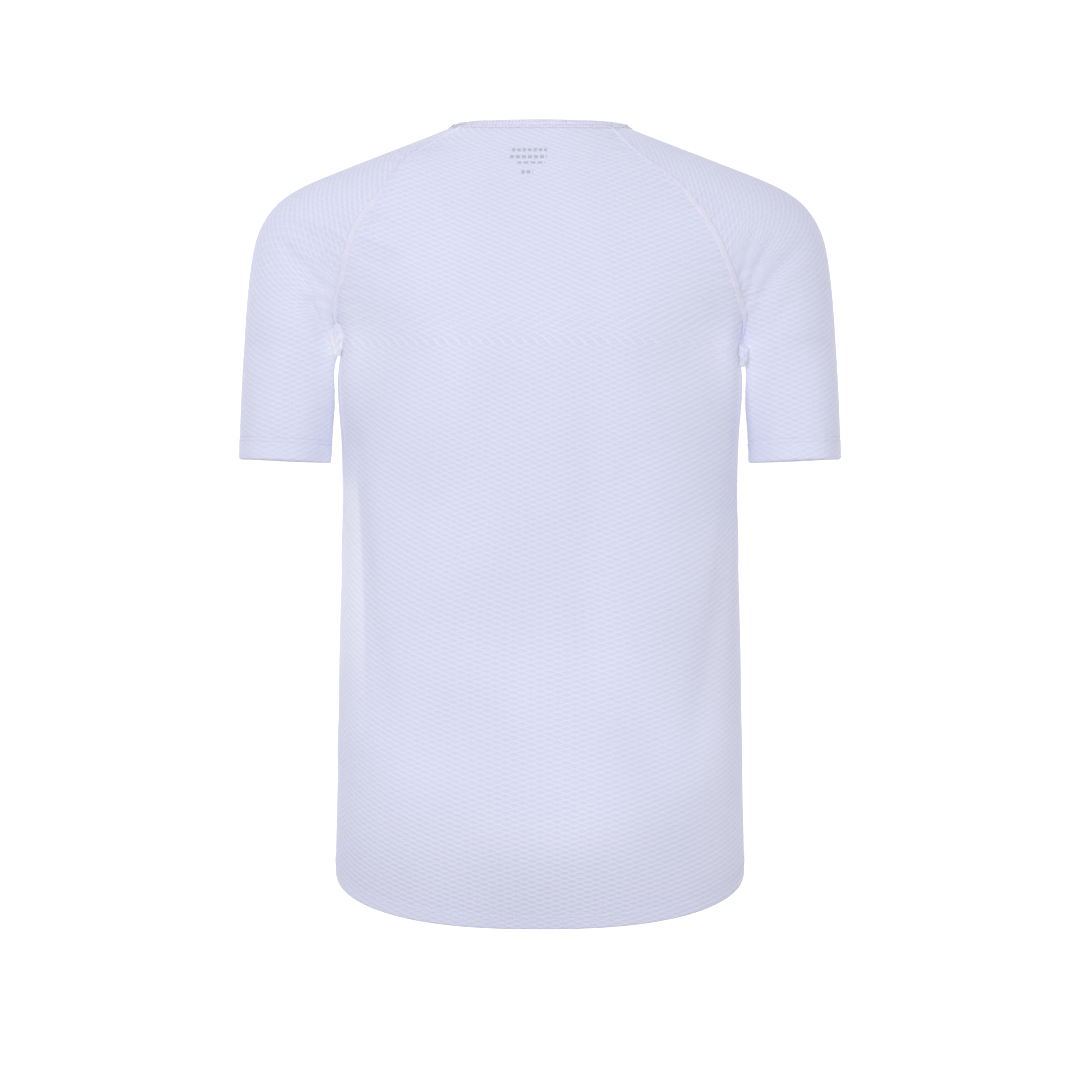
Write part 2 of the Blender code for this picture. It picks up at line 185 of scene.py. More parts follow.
# %% Floor, sky and lamps
FLOOR = -0.95
SKY_STRENGTH = 0.620
PAPER = {"Base_Color": (0.52, 0.93), "Emission_Color": (0.0, 0.95)}  # greys in front and behind
PAPER_GLOW = 0.45
PAPER_CHANGE = (-0.1, 0.7)  # where the front's grey turns into the one behind, along Y
LAMPS = {  # place, width of the square and power in watts
    "left_lamp": ((-1.5, -3.1, 0.2), 1.4, 31.5),
    "right_lamp": ((1.4, -3.1, -0.4), 1.2, 20),
    "top_lamp": ((-0.7, 0.2, 1.3), 0.8, 2),
}


def sweep_material():
    """White paper: a smooth step along Y turns it from plain pale paper into lit paper behind.

    Only its inner side is there to see, so that a camera behind it still sees the shirt."""
    material, tree, shader, places = new_material("white_paper")
    behind = remap(tree, split(tree, places["Object"])[1], *PAPER_CHANGE, 0.0, 1.0)
    shades = {
        socket: blend_colour(tree, behind, (front, front, front, 1), (back, back, back, 1))
        for socket, (front, back) in PAPER.items()
    }
    inside = calculate(tree, "SUBTRACT", 1.0, add_node(tree, "NewGeometry")["Backfacing"])
    fill(tree, shader, Roughness=0.9, Emission_Strength=PAPER_GLOW, Alpha=inside, **shades)
    return material


def sweep_points():
    """A straight floor that bends up into a wall: a quarter circle between two straight lines,
    carried along X."""
    turn = np.linspace(0, math.pi / 2, 25)
    radius, start = 1.2, 1.4
    run = np.concatenate([[-6.0], start + radius * np.sin(turn), [start + radius]])
    rise = np.concatenate([[0.0], radius * (1 - np.cos(turn)), [4.5]])
    across = np.linspace(7, -7, 5)[:, None]
    places = np.broadcast_arrays(across, run[None, :], FLOOR + rise[None, :])
    return np.stack(places, axis=-1)


def soft_lamp(name, place, size, power):
    """A square lamp that faces the middle of the shirt."""
    lamp = bpy.data.lights.new(name, "AREA")
    lamp.shape, lamp.size, lamp.energy = "SQUARE", size, power
    holder = bpy.data.objects.new(name, lamp)
    holder.location = place
    away = np.array([0.0, 0.0, CAMERA_HEIGHT]) - np.array(place)
    turn = math.atan2(-away[0], away[1])
    tilt = math.acos(-away[2] / np.linalg.norm(away))
    holder.rotation_euler = (tilt, 0, turn)
    bpy.context.scene.collection.objects.link(holder)


paper = sweep_points()
paper_faces = grid_faces(np.arange(paper[..., 0].size).reshape(paper.shape[:2]))
sweep = make_piece("sweep", paper.reshape(-1, 3), paper_faces, sweep_material())
sweep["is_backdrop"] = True
sky = bpy.data.worlds.new("white_room")
sky.use_nodes = True
glow = sky.node_tree.nodes["Background"]
fill(sky.node_tree, glow, Color=(1, 1, 1, 1), Strength=SKY_STRENGTH)
bpy.context.scene.world = sky
bpy.context.scene.view_settings.view_transform = "Standard"
for name, (place, size, power) in LAMPS.items():
    soft_lamp(name, place, size, power)
print("the sweep is", round(sweep.dimensions.x, 1), "m wide, and lamps:", len(LAMPS))

# %% [markdown]
# ## Short tables and smooth curves
# The shirt's sizes are kept in short tables, in millimetres. A natural spline runs through each
# column, as a maker's curve runs through a few measured points. Soft edges and soft bumps come
# from two more curves: a smooth step and a bell.

# %% Tables and curves


# Columns that hold plain numbers or degrees, not lengths.
PLAIN = {"squareness", "share", "wide", "inward", "angle", "top_angle", "bottom_angle"}


def table(columns, *rows):
    """A short table, kept as one array for each named column.

    Lengths are given in millimetres and kept in metres; plain numbers and degrees stay."""
    named = zip(columns.split(), np.array(rows, float).T)
    return {name: values if name in PLAIN else values / 1000 for name, values in named}


def spline(xs, ys, at):
    """A natural cubic spline through (xs, ys), read at these places.

    It runs on straight past its ends."""
    order = np.argsort(xs)
    xs, ys, at = xs[order], ys[order], np.asarray(at, float)
    step = np.diff(xs)
    slope = np.diff(ys) / step
    rows = np.eye(len(xs))
    right = np.zeros(len(xs))
    inner = np.arange(1, len(xs) - 1)
    rows[inner, inner - 1] = step[:-1]
    rows[inner, inner] = 2 * (step[:-1] + step[1:])
    rows[inner, inner + 1] = step[1:]
    right[1:-1] = 6 * np.diff(slope)
    bend = np.linalg.solve(rows, right)
    i = np.clip(np.searchsorted(xs, at) - 1, 0, len(step) - 1)
    inside = np.clip(at, xs[0], xs[-1])
    a, b = (xs[i + 1] - inside) / step[i], (inside - xs[i]) / step[i]
    bent = ((a**3 - a) * bend[i] + (b**3 - b) * bend[i + 1]) * step[i] ** 2 / 6
    curve = a * ys[i] + b * ys[i + 1] + bent
    start = slope[0] - step[0] * bend[1] / 6
    end = slope[-1] + step[-1] * bend[-2] / 6
    return curve + np.minimum(at - xs[0], 0) * start + np.maximum(at - xs[-1], 0) * end


def column(rows, name, height):
    """A table's named column at these heights."""
    return spline(rows["height"], rows[name], height)


def unit(vectors):
    """The same directions with length one."""
    return vectors / np.linalg.norm(vectors, axis=-1, keepdims=True)


def smooth_step(value):
    """0 below 0, 1 above 1, and 3 v squared less 2 v cubed between."""
    value = np.clip(value, 0, 1)
    return value * value * (3 - 2 * value)


def bell(value, middle, half_width):
    """e to the minus square of the distance from the middle, counted in half widths."""
    return np.exp(-(((value - middle) / half_width) ** 2))


def fade_between(value, low, low_fade, high, high_fade):
    """1 between low and high, with a smooth step of the given width inside each end."""
    return smooth_step((value - low) / low_fade) * smooth_step((high - value) / high_fade)


def signed_power(value, power):
    """The value's size to a power, with its sign kept."""
    return np.sign(value) * np.abs(value) ** power


# %% [markdown]
# ## Creases
# A crease is a soft trough or ridge along a bowed line. The lines are set down as they look from
# straight behind, or from straight in front: three points each, how wide the crease is to the left
# and right of its line, and how deep. A narrow side and a wide side make the steep edge and the
# slow slope that a fold of cloth has. The alternative is to let a cloth simulation find the folds,
# but then they don't fall where a given shirt has them.

# %% Creases
CREASE = "x0 z0 x1 z1 x2 z2 left right depth"  # left and right of its way; depth is inwards
CREASE_STEPS = 48


def crease_depth(x, z, creases):
    """How far creases press the cloth in at places x and z.

    Each line is the parabola through its three points. Across it the depth is a bell whose half
    width differs left and right of it; along it, it rises and falls smoothly over the first and
    last quarter."""
    depth = np.zeros(x.shape)
    t = np.linspace(0, 1, CREASE_STEPS + 1)
    for x0, z0, x1, z1, x2, z2, left, right, deepest in zip(*creases.values()):
        reach = 3 * max(left, right)
        low = [min(x0, x1, x2) - reach, min(z0, z1, z2) - reach]
        high = [max(x0, x1, x2) + reach, max(z0, z1, z2) + reach]
        near = (x > low[0]) & (x < high[0]) & (z > low[1]) & (z < high[1])
        line = np.outer((1 - t) * (1 - 2 * t), (x0, z0)) + np.outer(4 * t * (1 - t), (x1, z1))
        line = line + np.outer(t * (2 * t - 1), (x2, z2))
        way = np.gradient(line, axis=0)
        place = np.stack([x[near], z[near]], axis=1)
        closest = ((place[:, None] - line) ** 2).sum(axis=2).argmin(axis=1)
        away, along = place - line[closest], way[closest]
        ahead = (away * along).sum(axis=1) / (along**2).sum(axis=1)
        aside = along[:, 0] * away[:, 1] - along[:, 1] * away[:, 0]
        aside = aside / np.linalg.norm(along, axis=1)
        share = (closest + ahead) / CREASE_STEPS
        across = bell(aside, 0, np.where(aside > 0, left, right))
        depth[near] += deepest * across * fade_between(share, 0, 0.25, 1, 0.25)
    return depth


BACK_CREASES = table(
    CREASE,
    # the folds down both sides
    (-164, -260, -159, -320, -151, -430, 10, 20, 2),
    (-157.5, -330, -149.5, -425, -120, -560, 10, 16, 1.2),
    (172, -285, 160.5, -365, 145, -458, 11, 7, 1.2),
    (151, -420, 141, -487, 125, -580, 12, 10, 1.2),
    # soft hollows down the back, and low ridges beside the shoulder blades
    (-43, -200, -44, -340, -48, -500, 16, 16, 2.2),
    (40, -210, 41, -360, 44, -520, 16, 16, 2.2),
    (-73, -60, -73.5, -140, -70, -240, 9, 9, 1.8),
    (40, -50, 56, -130, 90, -245, 60, 16, -4.5),
    (-106, -90, -108, -150, -102, -220, 18, 18, -1.5),
    # where the cloth turns in below the seat
    (-176, -515, -110, -567, 20, -630, 30, 30, -2.5),
    (-30, -630, 93, -594, 176, -508, 30, 30, -2.5),
    # small pleats beside the left raglan seam
    (-164, -105, -142, -115.5, -116, -126.5, 2, 2, 2.2),
    (-165, -110.5, -143, -121, -118, -131.5, 2, 2, 2.3),
    (-165, -116, -145, -126.5, -124, -136, 2, 2, 1.8),
    (-151, -87, -137, -91.5, -122, -97, 2, 2, 1.9),
    (-154, -93, -141, -96.5, -128, -101, 2, 2, 1.6),
)
FRONT_CREASES = table(
    CREASE,
    # pulls from both underarms
    (158, -215, 125, -245, 80, -262, 9, 6, 3),
    (160, -245, 130, -290, 95, -330, 8, 12, 2.8),
    (-156, -222, -120, -250, -85, -258, 6, 9, 2.6),
    (-162, -255, -135, -305, -105, -350, 12, 8, 3),
    # soft hollows down the belly
    (42, -300, 46, -420, 56, -600, 18, 18, 2.4),
    (-38, -320, -47, -440, -50, -590, 18, 18, 2.6),
    (98, -480, 112, -560, 118, -620, 14, 14, 2.2),
    # one below the neck band, and two beside the right raglan seam
    (-50, -105, -20, -118, 20, -120, 6, 6, 1.2),
    (152, -120, 130, -134, 108, -140, 2.4, 2.4, 1.2),
    (153, -128, 133, -141, 112, -149, 2.4, 2.4, 1),
)
print("creases behind:", len(BACK_CREASES["x0"]), "and in front:", len(FRONT_CREASES["x0"]))

# %% [markdown]
# ## The trunk
# Rings round the body carry the cloth. Each ring is a superellipse: an oval with slightly squared
# shoulders, and its own depth behind and in front. The largest folds are shared with the solid
# model, and the creases above come on top of them. Behind each underarm a web of cloth fills the
# hollow between back and arm, as far as the table says.

# %% Rings round the trunk
BODY = table(
    "height half_width back front squareness",
    (-8, 90, 64.5, 48, 2.1), (-22, 128, 74.5, 56.5, 2.15), (-40, 177, 85.5, 66.5, 2.2),
    (-60, 213, 94.5, 76, 2.25), (-80, 233, 101.5, 84, 2.3), (-100, 240, 107, 91.5, 2.3),
    (-130, 221.5, 113.5, 101, 2.3), (-160, 198.5, 117.5, 109, 2.3), (-180, 183.5, 119, 113, 2.35),
    (-200, 174.5, 119.5, 116, 2.55), (-216, 175.8, 119.5, 117, 2.6), (-260, 175.4, 116.5, 118, 2.7),
    (-330, 173.5, 109, 115, 2.7), (-400, 174.5, 103, 110.5, 2.6), (-460, 176.2, 103, 108.5, 2.4),
    (-520, 177, 109, 108.5, 2.4), (-590, 178, 117, 107, 2.4), (-650, 179.3, 106, 103, 2.4),
    (-700, 178.5, 86, 99, 2.4),
)
MEAN_RADIUS = 0.150
FOLDS = table(
    "top_angle top bottom_angle bottom half_width depth",
    (83, -255, 46, -545, 20, 2.8), (-71, -225, -47, -540, 22, 2), (20, -480, 34, -610, 24, 3),
    (-16, -490, -33, -605, 24, 3), (118, -250, 138, -560, 20, 5.5),
    (-121, -260, -140, -540, 20, 5.5),
)
WEB = table(  # how far the web stands out behind the rings
    "height across depth",
    (-330, 179, 0), (-300, 179, 8), (-260, 178, 12), (-225, 176.5, 18), (-200, 173, 21),
    (-180, 176, 13), (-160, 177, 5), (-135, 170, 0),
)
WEB_OUTER, WEB_INNER, WEB_START = 0.0075, 0.0170, 0.030
FACING = 0.15  # cosine of the angle over which the creases behind and in front fade at the sides


def web_depth(x, y, height):
    """A bell across the underarm's line, wider towards the body's middle and as deep as the table
    says, on the side behind the arm only."""
    across = np.interp(height, WEB["height"], WEB["across"])
    half_width = np.where(np.abs(x) < across, WEB_INNER, WEB_OUTER)
    depth = np.interp(height, WEB["height"], WEB["depth"])
    return depth * bell(np.abs(x), across, half_width) * smooth_step(-y / WEB_START)


def fold_depth(angle, height):
    """How far the soft troughs press the body's cloth in, at these angles and heights.

    Along its line a trough is half a sine deep, and across it a bell."""
    depth = np.zeros(np.broadcast(angle, height).shape)
    for top_angle, top, bottom_angle, bottom, half_width, deepest in zip(*FOLDS.values()):
        along = np.clip((height - top) / (bottom - top), 0, 1)
        middle = np.radians(top_angle + (bottom_angle - top_angle) * along)
        away = np.angle(np.exp(1j * (angle - middle))) * MEAN_RADIUS
        depth = depth + deepest * np.sin(math.pi * along) * bell(away, 0, half_width)
    return depth


# %% Points and normals of the trunk


def body_point(angle, height):
    """The cloth round the body, at angles in radians from the middle of the back and at heights.

    x is the half width times the sine to the power 2 over the squareness, y is the depth times
    the cosine to that power, and both shrink by what the folds and creases take."""
    angle, height = np.broadcast_arrays(angle, height)
    power = 2 / column(BODY, "squareness", height)
    behind = np.cos(angle) > 0
    depth = np.where(behind, column(BODY, "back", height), column(BODY, "front", height))
    x = column(BODY, "half_width", height) * signed_power(np.sin(angle), power)
    y = -depth * signed_power(np.cos(angle), power)
    pressed = fold_depth(angle, height)
    for facing, creases in ((1, BACK_CREASES), (-1, FRONT_CREASES)):
        share = smooth_step(facing * np.cos(angle) / FACING)
        pressed = pressed + share * crease_depth(x, height, creases)
    inward = pressed / np.hypot(x, y)
    y = y - web_depth(x, y, height)
    return np.stack([x * (1 - inward), y * (1 - inward), height], axis=-1)


def body_normal(angle, height):
    """The body's outward normal, from the cross product of its two directions."""
    small = 1e-4
    across = body_point(angle + small, height) - body_point(angle - small, height)
    up = body_point(angle, height + small) - body_point(angle, height - small)
    return unit(np.cross(across, up))


def lengths_along(points, axis):
    """Distances from the first point, along the rows or columns of a grid of points."""
    step = np.linalg.norm(np.diff(points, axis=axis), axis=-1)
    first = np.zeros_like(np.take(step, [0], axis=axis))
    return np.concatenate([first, np.cumsum(step, axis=axis)], axis=axis)


WAIST = -0.43
waist = body_point(np.linspace(-math.pi, math.pi, 361), np.full(361, WAIST))
print("round the waist in mm:", round(1000 * lengths_along(waist, 0)[-1]))

# %% [markdown]
# ## Where the seams run
# Four raglan seams climb from the underarms to the neck. They are drawn once, as height and place
# on the body's rings, and the panels and sleeves on both sides start from the same line, so no
# slit can open between them.

# %% Seam lines
UNDERARM = -0.200
LEFT_BACK_SEAM = table(
    "height across",
    (-200, 171.5), (-189, 173.5), (-177, 176.3), (-164, 176.5), (-142, 171.2), (-117, 165.5),
    (-99, 159), (-81, 146.5), (-62, 133.5), (-43, 120.5), (-27.3, 101.5), (-7, 68.5),
)
RIGHT_BACK_SEAM = table(
    "height across",
    (-200, 171.5), (-190, 174.5), (-178, 176), (-163, 173), (-140, 165.5), (-119, 156.5),
    (-98, 146.2), (-79, 133.5), (-62.5, 120.5), (-47.5, 104), (-35.5, 88), (-22.3, 74.5),
    (-8.5, 62.5),
)
FRONT_SEAM = table(  # angle round the ring, from the middle of the front
    "height angle",
    (-200, 101.6), (-196.5, 93), (-189.5, 85), (-180, 76.5), (-168, 68), (-153, 58), (-136, 48.5),
    (-118, 39.5), (-98.5, 32), (-80, 27), (-60, 22), (-41, 18),
)


def along_seam(seam, share, unit_length):
    """A seam table's two columns at shares of its length. One unit of the second is unit_length
    long."""
    first, second = seam.values()
    step = np.hypot(np.diff(first), np.diff(second) * unit_length)
    at = np.concatenate([[0], np.cumsum(step)]) / step.sum()
    return spline(at, first, share), spline(at, second, share)


def ring_angle(x, height, behind):
    """The angle at which the ring at this height has this x, behind (positive) or in front
    (negative)."""
    reach = np.minimum(np.abs(x) / column(BODY, "half_width", height), 1)
    angle = np.arcsin(reach ** (column(BODY, "squareness", height) / 2))
    return np.sign(x) * np.where(behind > 0, angle, math.pi - angle)


def back_seam(share, side):
    """Angle and height along a back raglan seam; side is 1 on the right and -1 on the left."""
    height, across = along_seam(RIGHT_BACK_SEAM if side > 0 else LEFT_BACK_SEAM, share, 1)
    return ring_angle(side * across, height, 1), height


def front_seam(share, side):
    """Angle and height along a front raglan seam."""
    height, angle = along_seam(FRONT_SEAM, share, math.radians(MEAN_RADIUS))
    return side * np.radians(180 - angle), height


for name, seam in (("back", back_seam), ("front", front_seam)):
    points = body_point(*seam(np.linspace(0, 1, 80), 1))
    print(name, "raglan seam in mm:", round(1000 * lengths_along(points, 0)[-1]))

# %% [markdown]
# ## The back and the front
# Each panel is a grid: rows from the hem up to the underarms, then rows that climb the raglan
# seams to the neckline. Below the underarms the rows follow the hem, which dips to a rounded tail
# behind. Above, they are drawn from seam to seam and bend to the shape of the neckline.

# %% Panel grids
BACK_NECK, FRONT_NECK, NECK_ROUNDNESS = -0.0102, -0.090, 2.3
SIDE_SEAM = table(  # angle round the ring, from the middle of the back
    "height angle",
    (-200, 78.4), (-255, 76), (-330, 83), (-400, 91.5), (-480, 96), (-570, 97), (-670, 97),
)
SIDE_HEM, TAIL_DROP, TAIL_ROUNDNESS, FRONT_RISE = -0.6563, 0.0442, 0.95, 0.012
TAIL_TURN = 0.016  # height of the turned hem
FINE_REACH = 1.5  # how many times the turned hem's or cuff's height has finely spaced rows
BACK_SIZE = dict(columns=170, hem_rows=22, body_rows=172, raglan_rows=84)
FRONT_SIZE = dict(columns=140, hem_rows=16, body_rows=140, raglan_rows=60)


def hem_height(angle):
    """The hem dips to a rounded tail behind and rises a little in front."""
    behind = np.maximum(np.cos(angle), 0) ** TAIL_ROUNDNESS
    before = np.maximum(-np.cos(angle), 0) ** 2
    return SIDE_HEM - TAIL_DROP * behind + FRONT_RISE * before


def lay_across(start, end, u):
    """Angles evenly from start to end, which is reached round the front if it is the smaller."""
    end = np.where(end < start, end + 2 * math.pi, end)
    return start + (end - start) * (u + 1) / 2


def falling_shares(turned, turn_rows, other_rows):
    """Shares from 1 at a turned edge to 0, with turn_rows of the rows within the turned share."""
    fine = np.linspace(1, 1 - turned, turn_rows + 1)[:-1]
    return np.concatenate([fine, np.linspace(1 - turned, 0, other_rows + 1)])


def panel_places(seam, from_side, neck_height, columns, hem_rows, body_rows, raglan_rows):
    """Angles and heights of a panel's grid, from one seam to the other and from the hem up to the
    neckline."""
    u = np.linspace(-1, 1, columns + 1)
    turned = FINE_REACH * TAIL_TURN / (UNDERARM - SIDE_HEM)
    shares = falling_shares(turned, hem_rows, body_rows)[:, None]
    side_height = UNDERARM + (SIDE_HEM - UNDERARM) * shares
    side_angle = np.radians(column(SIDE_SEAM, "angle", side_height))
    lower = lay_across(from_side * side_angle, -from_side * side_angle, u)
    lower_height = UNDERARM + (hem_height(lower) - UNDERARM) * shares

    share = np.linspace(0, 1, raglan_rows + 1)[1:, None]
    (start, first), (end, last) = seam(share, from_side), seam(share, -from_side)
    height = first + (last - first) * (u + 1) / 2
    climbed = (height - UNDERARM) / (height[-1] - UNDERARM)
    middle = UNDERARM + climbed * (neck_height - UNDERARM)
    angle = lay_across(start, end, u)
    x = body_point(angle, height)[..., 0]
    dip = 1 - np.abs(x / x[:, :1]) ** NECK_ROUNDNESS
    height = height + (middle - height) * dip
    upper = ring_angle(x, height, np.cos(angle))
    return np.concatenate([lower, upper]), np.concatenate([lower_height, height])


back_angle, back_height = panel_places(back_seam, -1, BACK_NECK, **BACK_SIZE)
front_angle, front_height = panel_places(front_seam, 1, FRONT_NECK, **FRONT_SIZE)
print("back grid", back_angle.shape, "and front grid", front_angle.shape)

# %% [markdown]
# ## Puckers
# A flat seam draws the knit up a little, so tiny pleats stand beside it, and a turned hem puckers
# along its stitches. Both are ripples that run along the sewn edge and die out within a finger's
# width. They are zero on the edge itself, where two pieces have to meet.

# %% Puckers and the turned hem
EDGE_ROUND = 0.0022  # radius of the fold at a hem or cuff
PUCKER = dict(pitch=0.0105, height=0.0008, reach=0.007)
SIDE_PUCKER = 0.35  # strength below the underarm, where the seams are straight
TURNED = dict(layer=0.0002, groove=0.0002, groove_width=0.0026, wave=0.0002, wave_width=0.007)


def ripple(along, pitch, phase):
    """Uneven waves: a sine whose own phase drifts back and forth."""
    drift = 1.9 * np.sin(2 * math.pi * along / (4.3 * pitch) + phase)
    size = 0.65 + 0.35 * np.sin(2 * math.pi * along / (7.1 * pitch) + 2.3 * phase)
    return size * np.sin(2 * math.pi * along / pitch + drift)


def seam_puckers(away, along, phase):
    """Pleats beside a seam: the ripple times a hump that starts at zero on the seam and fades
    away from it."""
    hump = (away / PUCKER["reach"]) * np.exp(1 - away / PUCKER["reach"])
    return PUCKER["height"] * ripple(along, PUCKER["pitch"], phase) * hump


def turned_hem(up, along, turn, phase):
    """The second layer stands proud below the stitches, the stitches pull a puckered groove, and
    the folded edge turns in by a quarter circle."""
    layer = TURNED["layer"] * smooth_step((turn + 0.0030 - up) / 0.006)
    pulled = TURNED["groove"] * (1 + 0.5 * ripple(along, 0.0085, phase))
    groove = pulled * bell(up, turn, TURNED["groove_width"])
    wave = TURNED["wave"] * ripple(along, 0.012, phase + 1) * bell(up, turn, TURNED["wave_width"])
    rim = EDGE_ROUND * (1 - np.sqrt(1 - np.clip(1 - up / EDGE_ROUND, 0, 1) ** 2))
    return layer - groove + wave - rim


def grid_normals(points):
    """Normals of a grid of points, from the cross product of its two directions."""
    return unit(np.cross(np.gradient(points, axis=1), np.gradient(points, axis=0)))


def panel_points(angle, height, phase, below_raglan):
    """The panel's cloth with its puckers: along both seams and along the hem."""
    points = body_point(angle, height)
    across, up = lengths_along(points, 1), lengths_along(points, 0)
    raglan = smooth_step((np.arange(len(points)) - below_raglan) / 8)[:, None]
    strength = SIDE_PUCKER + (1 - SIDE_PUCKER) * raglan
    puckers = seam_puckers(across, up[:, :1], phase)
    puckers = puckers + seam_puckers(across[:, -1:] - across, up[:, -1:], phase + 2)
    proud = turned_hem(up, across, TAIL_TURN, phase) + strength * puckers
    return points + grid_normals(points) * proud[..., None], across, up


RAGLAN_START = {  # the row at the underarm, for each panel
    name: size["hem_rows"] + size["body_rows"]
    for name, size in (("back", BACK_SIZE), ("front", FRONT_SIZE))
}
back_points, back_across, back_up = panel_points(
    back_angle, back_height, phase=0.4, below_raglan=RAGLAN_START["back"]
)
front_points, front_across, front_up = panel_points(
    front_angle, front_height, phase=1.7, below_raglan=RAGLAN_START["front"]
)
print("back hem in mm:", round(1000 * back_across[0, -1]))
print("front hem in mm:", round(1000 * front_across[0, -1]))

# %% [markdown]
# ## The sleeves
# A raglan sleeve is one piece that runs from the neck to the cuff. Its top line is the shoulder's
# slope, a round cap and the arm. From each point of the seams and the underarm a half section
# curves out to that top line, as a cubic with one handle at each end. Near the underarm the sleeve
# sets off in a valley beside the body, higher up it carries the body's surface straight on.

# %% Sleeve sections
TOP_LINE = table(
    "across height",
    (80, -6.2), (105, -15.7), (160, -36.7), (190, -48.2), (211, -57.6), (229.7, -70.3),
    (241.5, -85), (248.5, -100), (252.5, -117), (257.2, -156), (260.7, -210), (263.2, -265),
    (264.3, -297),
)
CUFF_RUN, UNDERARM_RUN = 0.3957, 0.2935  # along the top line, from the neck
ARM_INSIDE = table(
    "share across forward height",
    (0, 171.5, -31, -200), (0.12, 176.6, -29, -212), (0.35, 178.1, -24, -234),
    (0.65, 180.4, -18, -264), (1, 183.2, -12, -299.5),
)
# Behind (-1) and in front (1): the depth at the underarm and at the cuff, and the way the section
# sets off, in degrees. For the cap: the seam, the share of it that has a valley, the way, and how
# much deeper the sleeve gets towards the neck.
ARM_HALVES = {-1: (0.066, 0.060, 76), 1: (0.064, 0.058, 90)}
CAP_HALVES = {-1: (back_seam, 0.55, 76, 0.036), 1: (front_seam, 0.90, 80, 0.030)}
CUFF_TILT = 0.0016  # how much higher the cuff is in front
ARM_FULLNESS = 0.3  # how much squarer than an oval the sleeve is behind
SEAM_REACH, TOP_REACH = 0.39, 0.45
CUFF_TURN = 0.020
TURN_ROWS, ARM_ROWS, CAP_ROWS, HALF_STEPS = 22, 24, 96, 60
CAP_BLEND = 0.55  # share of the arm over which it takes on the shape of the cap's lowest section


def top_line(run, side):
    """Points of the sleeve's top line at these distances from the neck."""
    across, height = TOP_LINE["across"], TOP_LINE["height"]
    at = np.concatenate([[0], np.cumsum(np.hypot(np.diff(across), np.diff(height)))])
    x, z = side * spline(at, across, run), spline(at, height, run)
    return np.stack([x, np.zeros_like(run), z], axis=1)


def half_section(start, top, facing, handles, steps):
    """Cubic curves from a seam to the top line, behind the arm (facing -1) or before it (1)."""
    set_off, top_reach = handles
    t = np.linspace(0, 1, steps + 1)[None, :, None]
    near_top = top + np.array([0.0, facing, 0.0]) * top_reach[:, None]
    p0, p1, p2, p3 = (p[:, None, :] for p in (start, start + set_off, near_top, top))
    return p0 * (1 - t) ** 3 + 3 * p1 * t * (1 - t) ** 2 + 3 * p2 * t**2 * (1 - t) + p3 * t**3


def section_frame(start, top):
    """Outward, from each seam point towards the top line, and the chord between them."""
    outward = unit((top - start) * np.array([1.0, 0.0, 1.0]))
    return outward, np.linalg.norm(top - start, axis=1)


def deep_handles(start, top, facing, depth, way):
    """Handles that set off the given way in degrees, turned from outward, and make the section
    reach this depth."""
    outward, _ = section_frame(start, top)
    way = math.radians(way)
    top_reach = np.full(len(start), 4 / 3) * depth
    reach = ((8 * depth - 4 * facing * start[:, 1]) / 3 - top_reach) / math.sin(way)
    turned = outward * math.cos(way) + np.array([0.0, facing, 0.0]) * math.sin(way)
    return turned * reach[:, None], top_reach


def smooth_handles(start, top, normal):
    """Handles that carry the body's cloth straight on past its seam."""
    outward, chord = section_frame(start, top)
    onward = unit(np.cross(normal, np.cross(outward, np.array([0.0, 1.0, 0.0]))))
    onward = onward * np.sign((onward * outward).sum(axis=1))[:, None]
    return onward * (SEAM_REACH * chord)[:, None], TOP_REACH * chord


def whole_section(behind, before):
    """Both halves of the sections as one row, which runs over the top line from back to front."""
    return np.concatenate([behind, before[:, -2::-1]], axis=1)


# %% Grids of the arm and the cap


def arm_grid(side, shares):
    """The closed part of the sleeve: sections at shares of the way from underarm to cuff."""
    share, *places = ARM_INSIDE.values()
    inside = np.stack([spline(share, place, shares) for place in places], axis=1)
    inside = inside * np.array([side, 1, 1])
    inside[:, 1] -= web_depth(*inside.T)
    top = top_line(UNDERARM_RUN + (CUFF_RUN - UNDERARM_RUN) * shares, side)
    halves = []
    for facing, (at_underarm, at_cuff, way) in ARM_HALVES.items():
        depth = at_underarm + (at_cuff - at_underarm) * shares
        handles = deep_handles(inside, top, facing, depth, way)
        halves.append(half_section(inside, top, facing, handles, HALF_STEPS))
    arm = whole_section(*halves)
    fuller = 1 + ARM_FULLNESS * smooth_step(shares / 0.3)[:, None]
    deepest = arm[..., 1].min(axis=1, keepdims=True)
    full = deepest * (1 - (1 - np.clip(arm[..., 1] / deepest, 0, 1)) ** fuller)
    arm[..., 1] = np.where(arm[..., 1] < 0, full, arm[..., 1])
    arm[..., 2] += CUFF_TILT * shares[:, None] * smooth_step(0.5 + arm[..., 1] / 0.10)
    return arm


def cap_grid(side, share):
    """The open part of the sleeve, from the underarm up both raglan seams to the neck."""
    top = top_line(UNDERARM_RUN * (1 - share), side)
    halves = []
    for facing, (seam, end, way, spread) in CAP_HALVES.items():
        valley = 1 - smooth_step(share / end)
        angle, height = seam(share, side)
        start = body_point(angle, height)
        depth = ARM_HALVES[facing][0] + spread * share
        deep = deep_handles(start, top, facing, depth, way)
        smooth = smooth_handles(start, top, body_normal(angle, height))
        set_off = deep[0] * valley[:, None] + smooth[0] * (1 - valley)[:, None]
        handles = set_off, deep[1] * valley + smooth[1] * (1 - valley)
        halves.append(half_section(start, top, facing, handles, HALF_STEPS))
    return whole_section(*halves)


turned_share = FINE_REACH * CUFF_TURN / (CUFF_RUN - UNDERARM_RUN)
arm_shares = falling_shares(turned_share, TURN_ROWS, ARM_ROWS)[:-1]
cap_shares = np.linspace(0, 1, CAP_ROWS + 1)


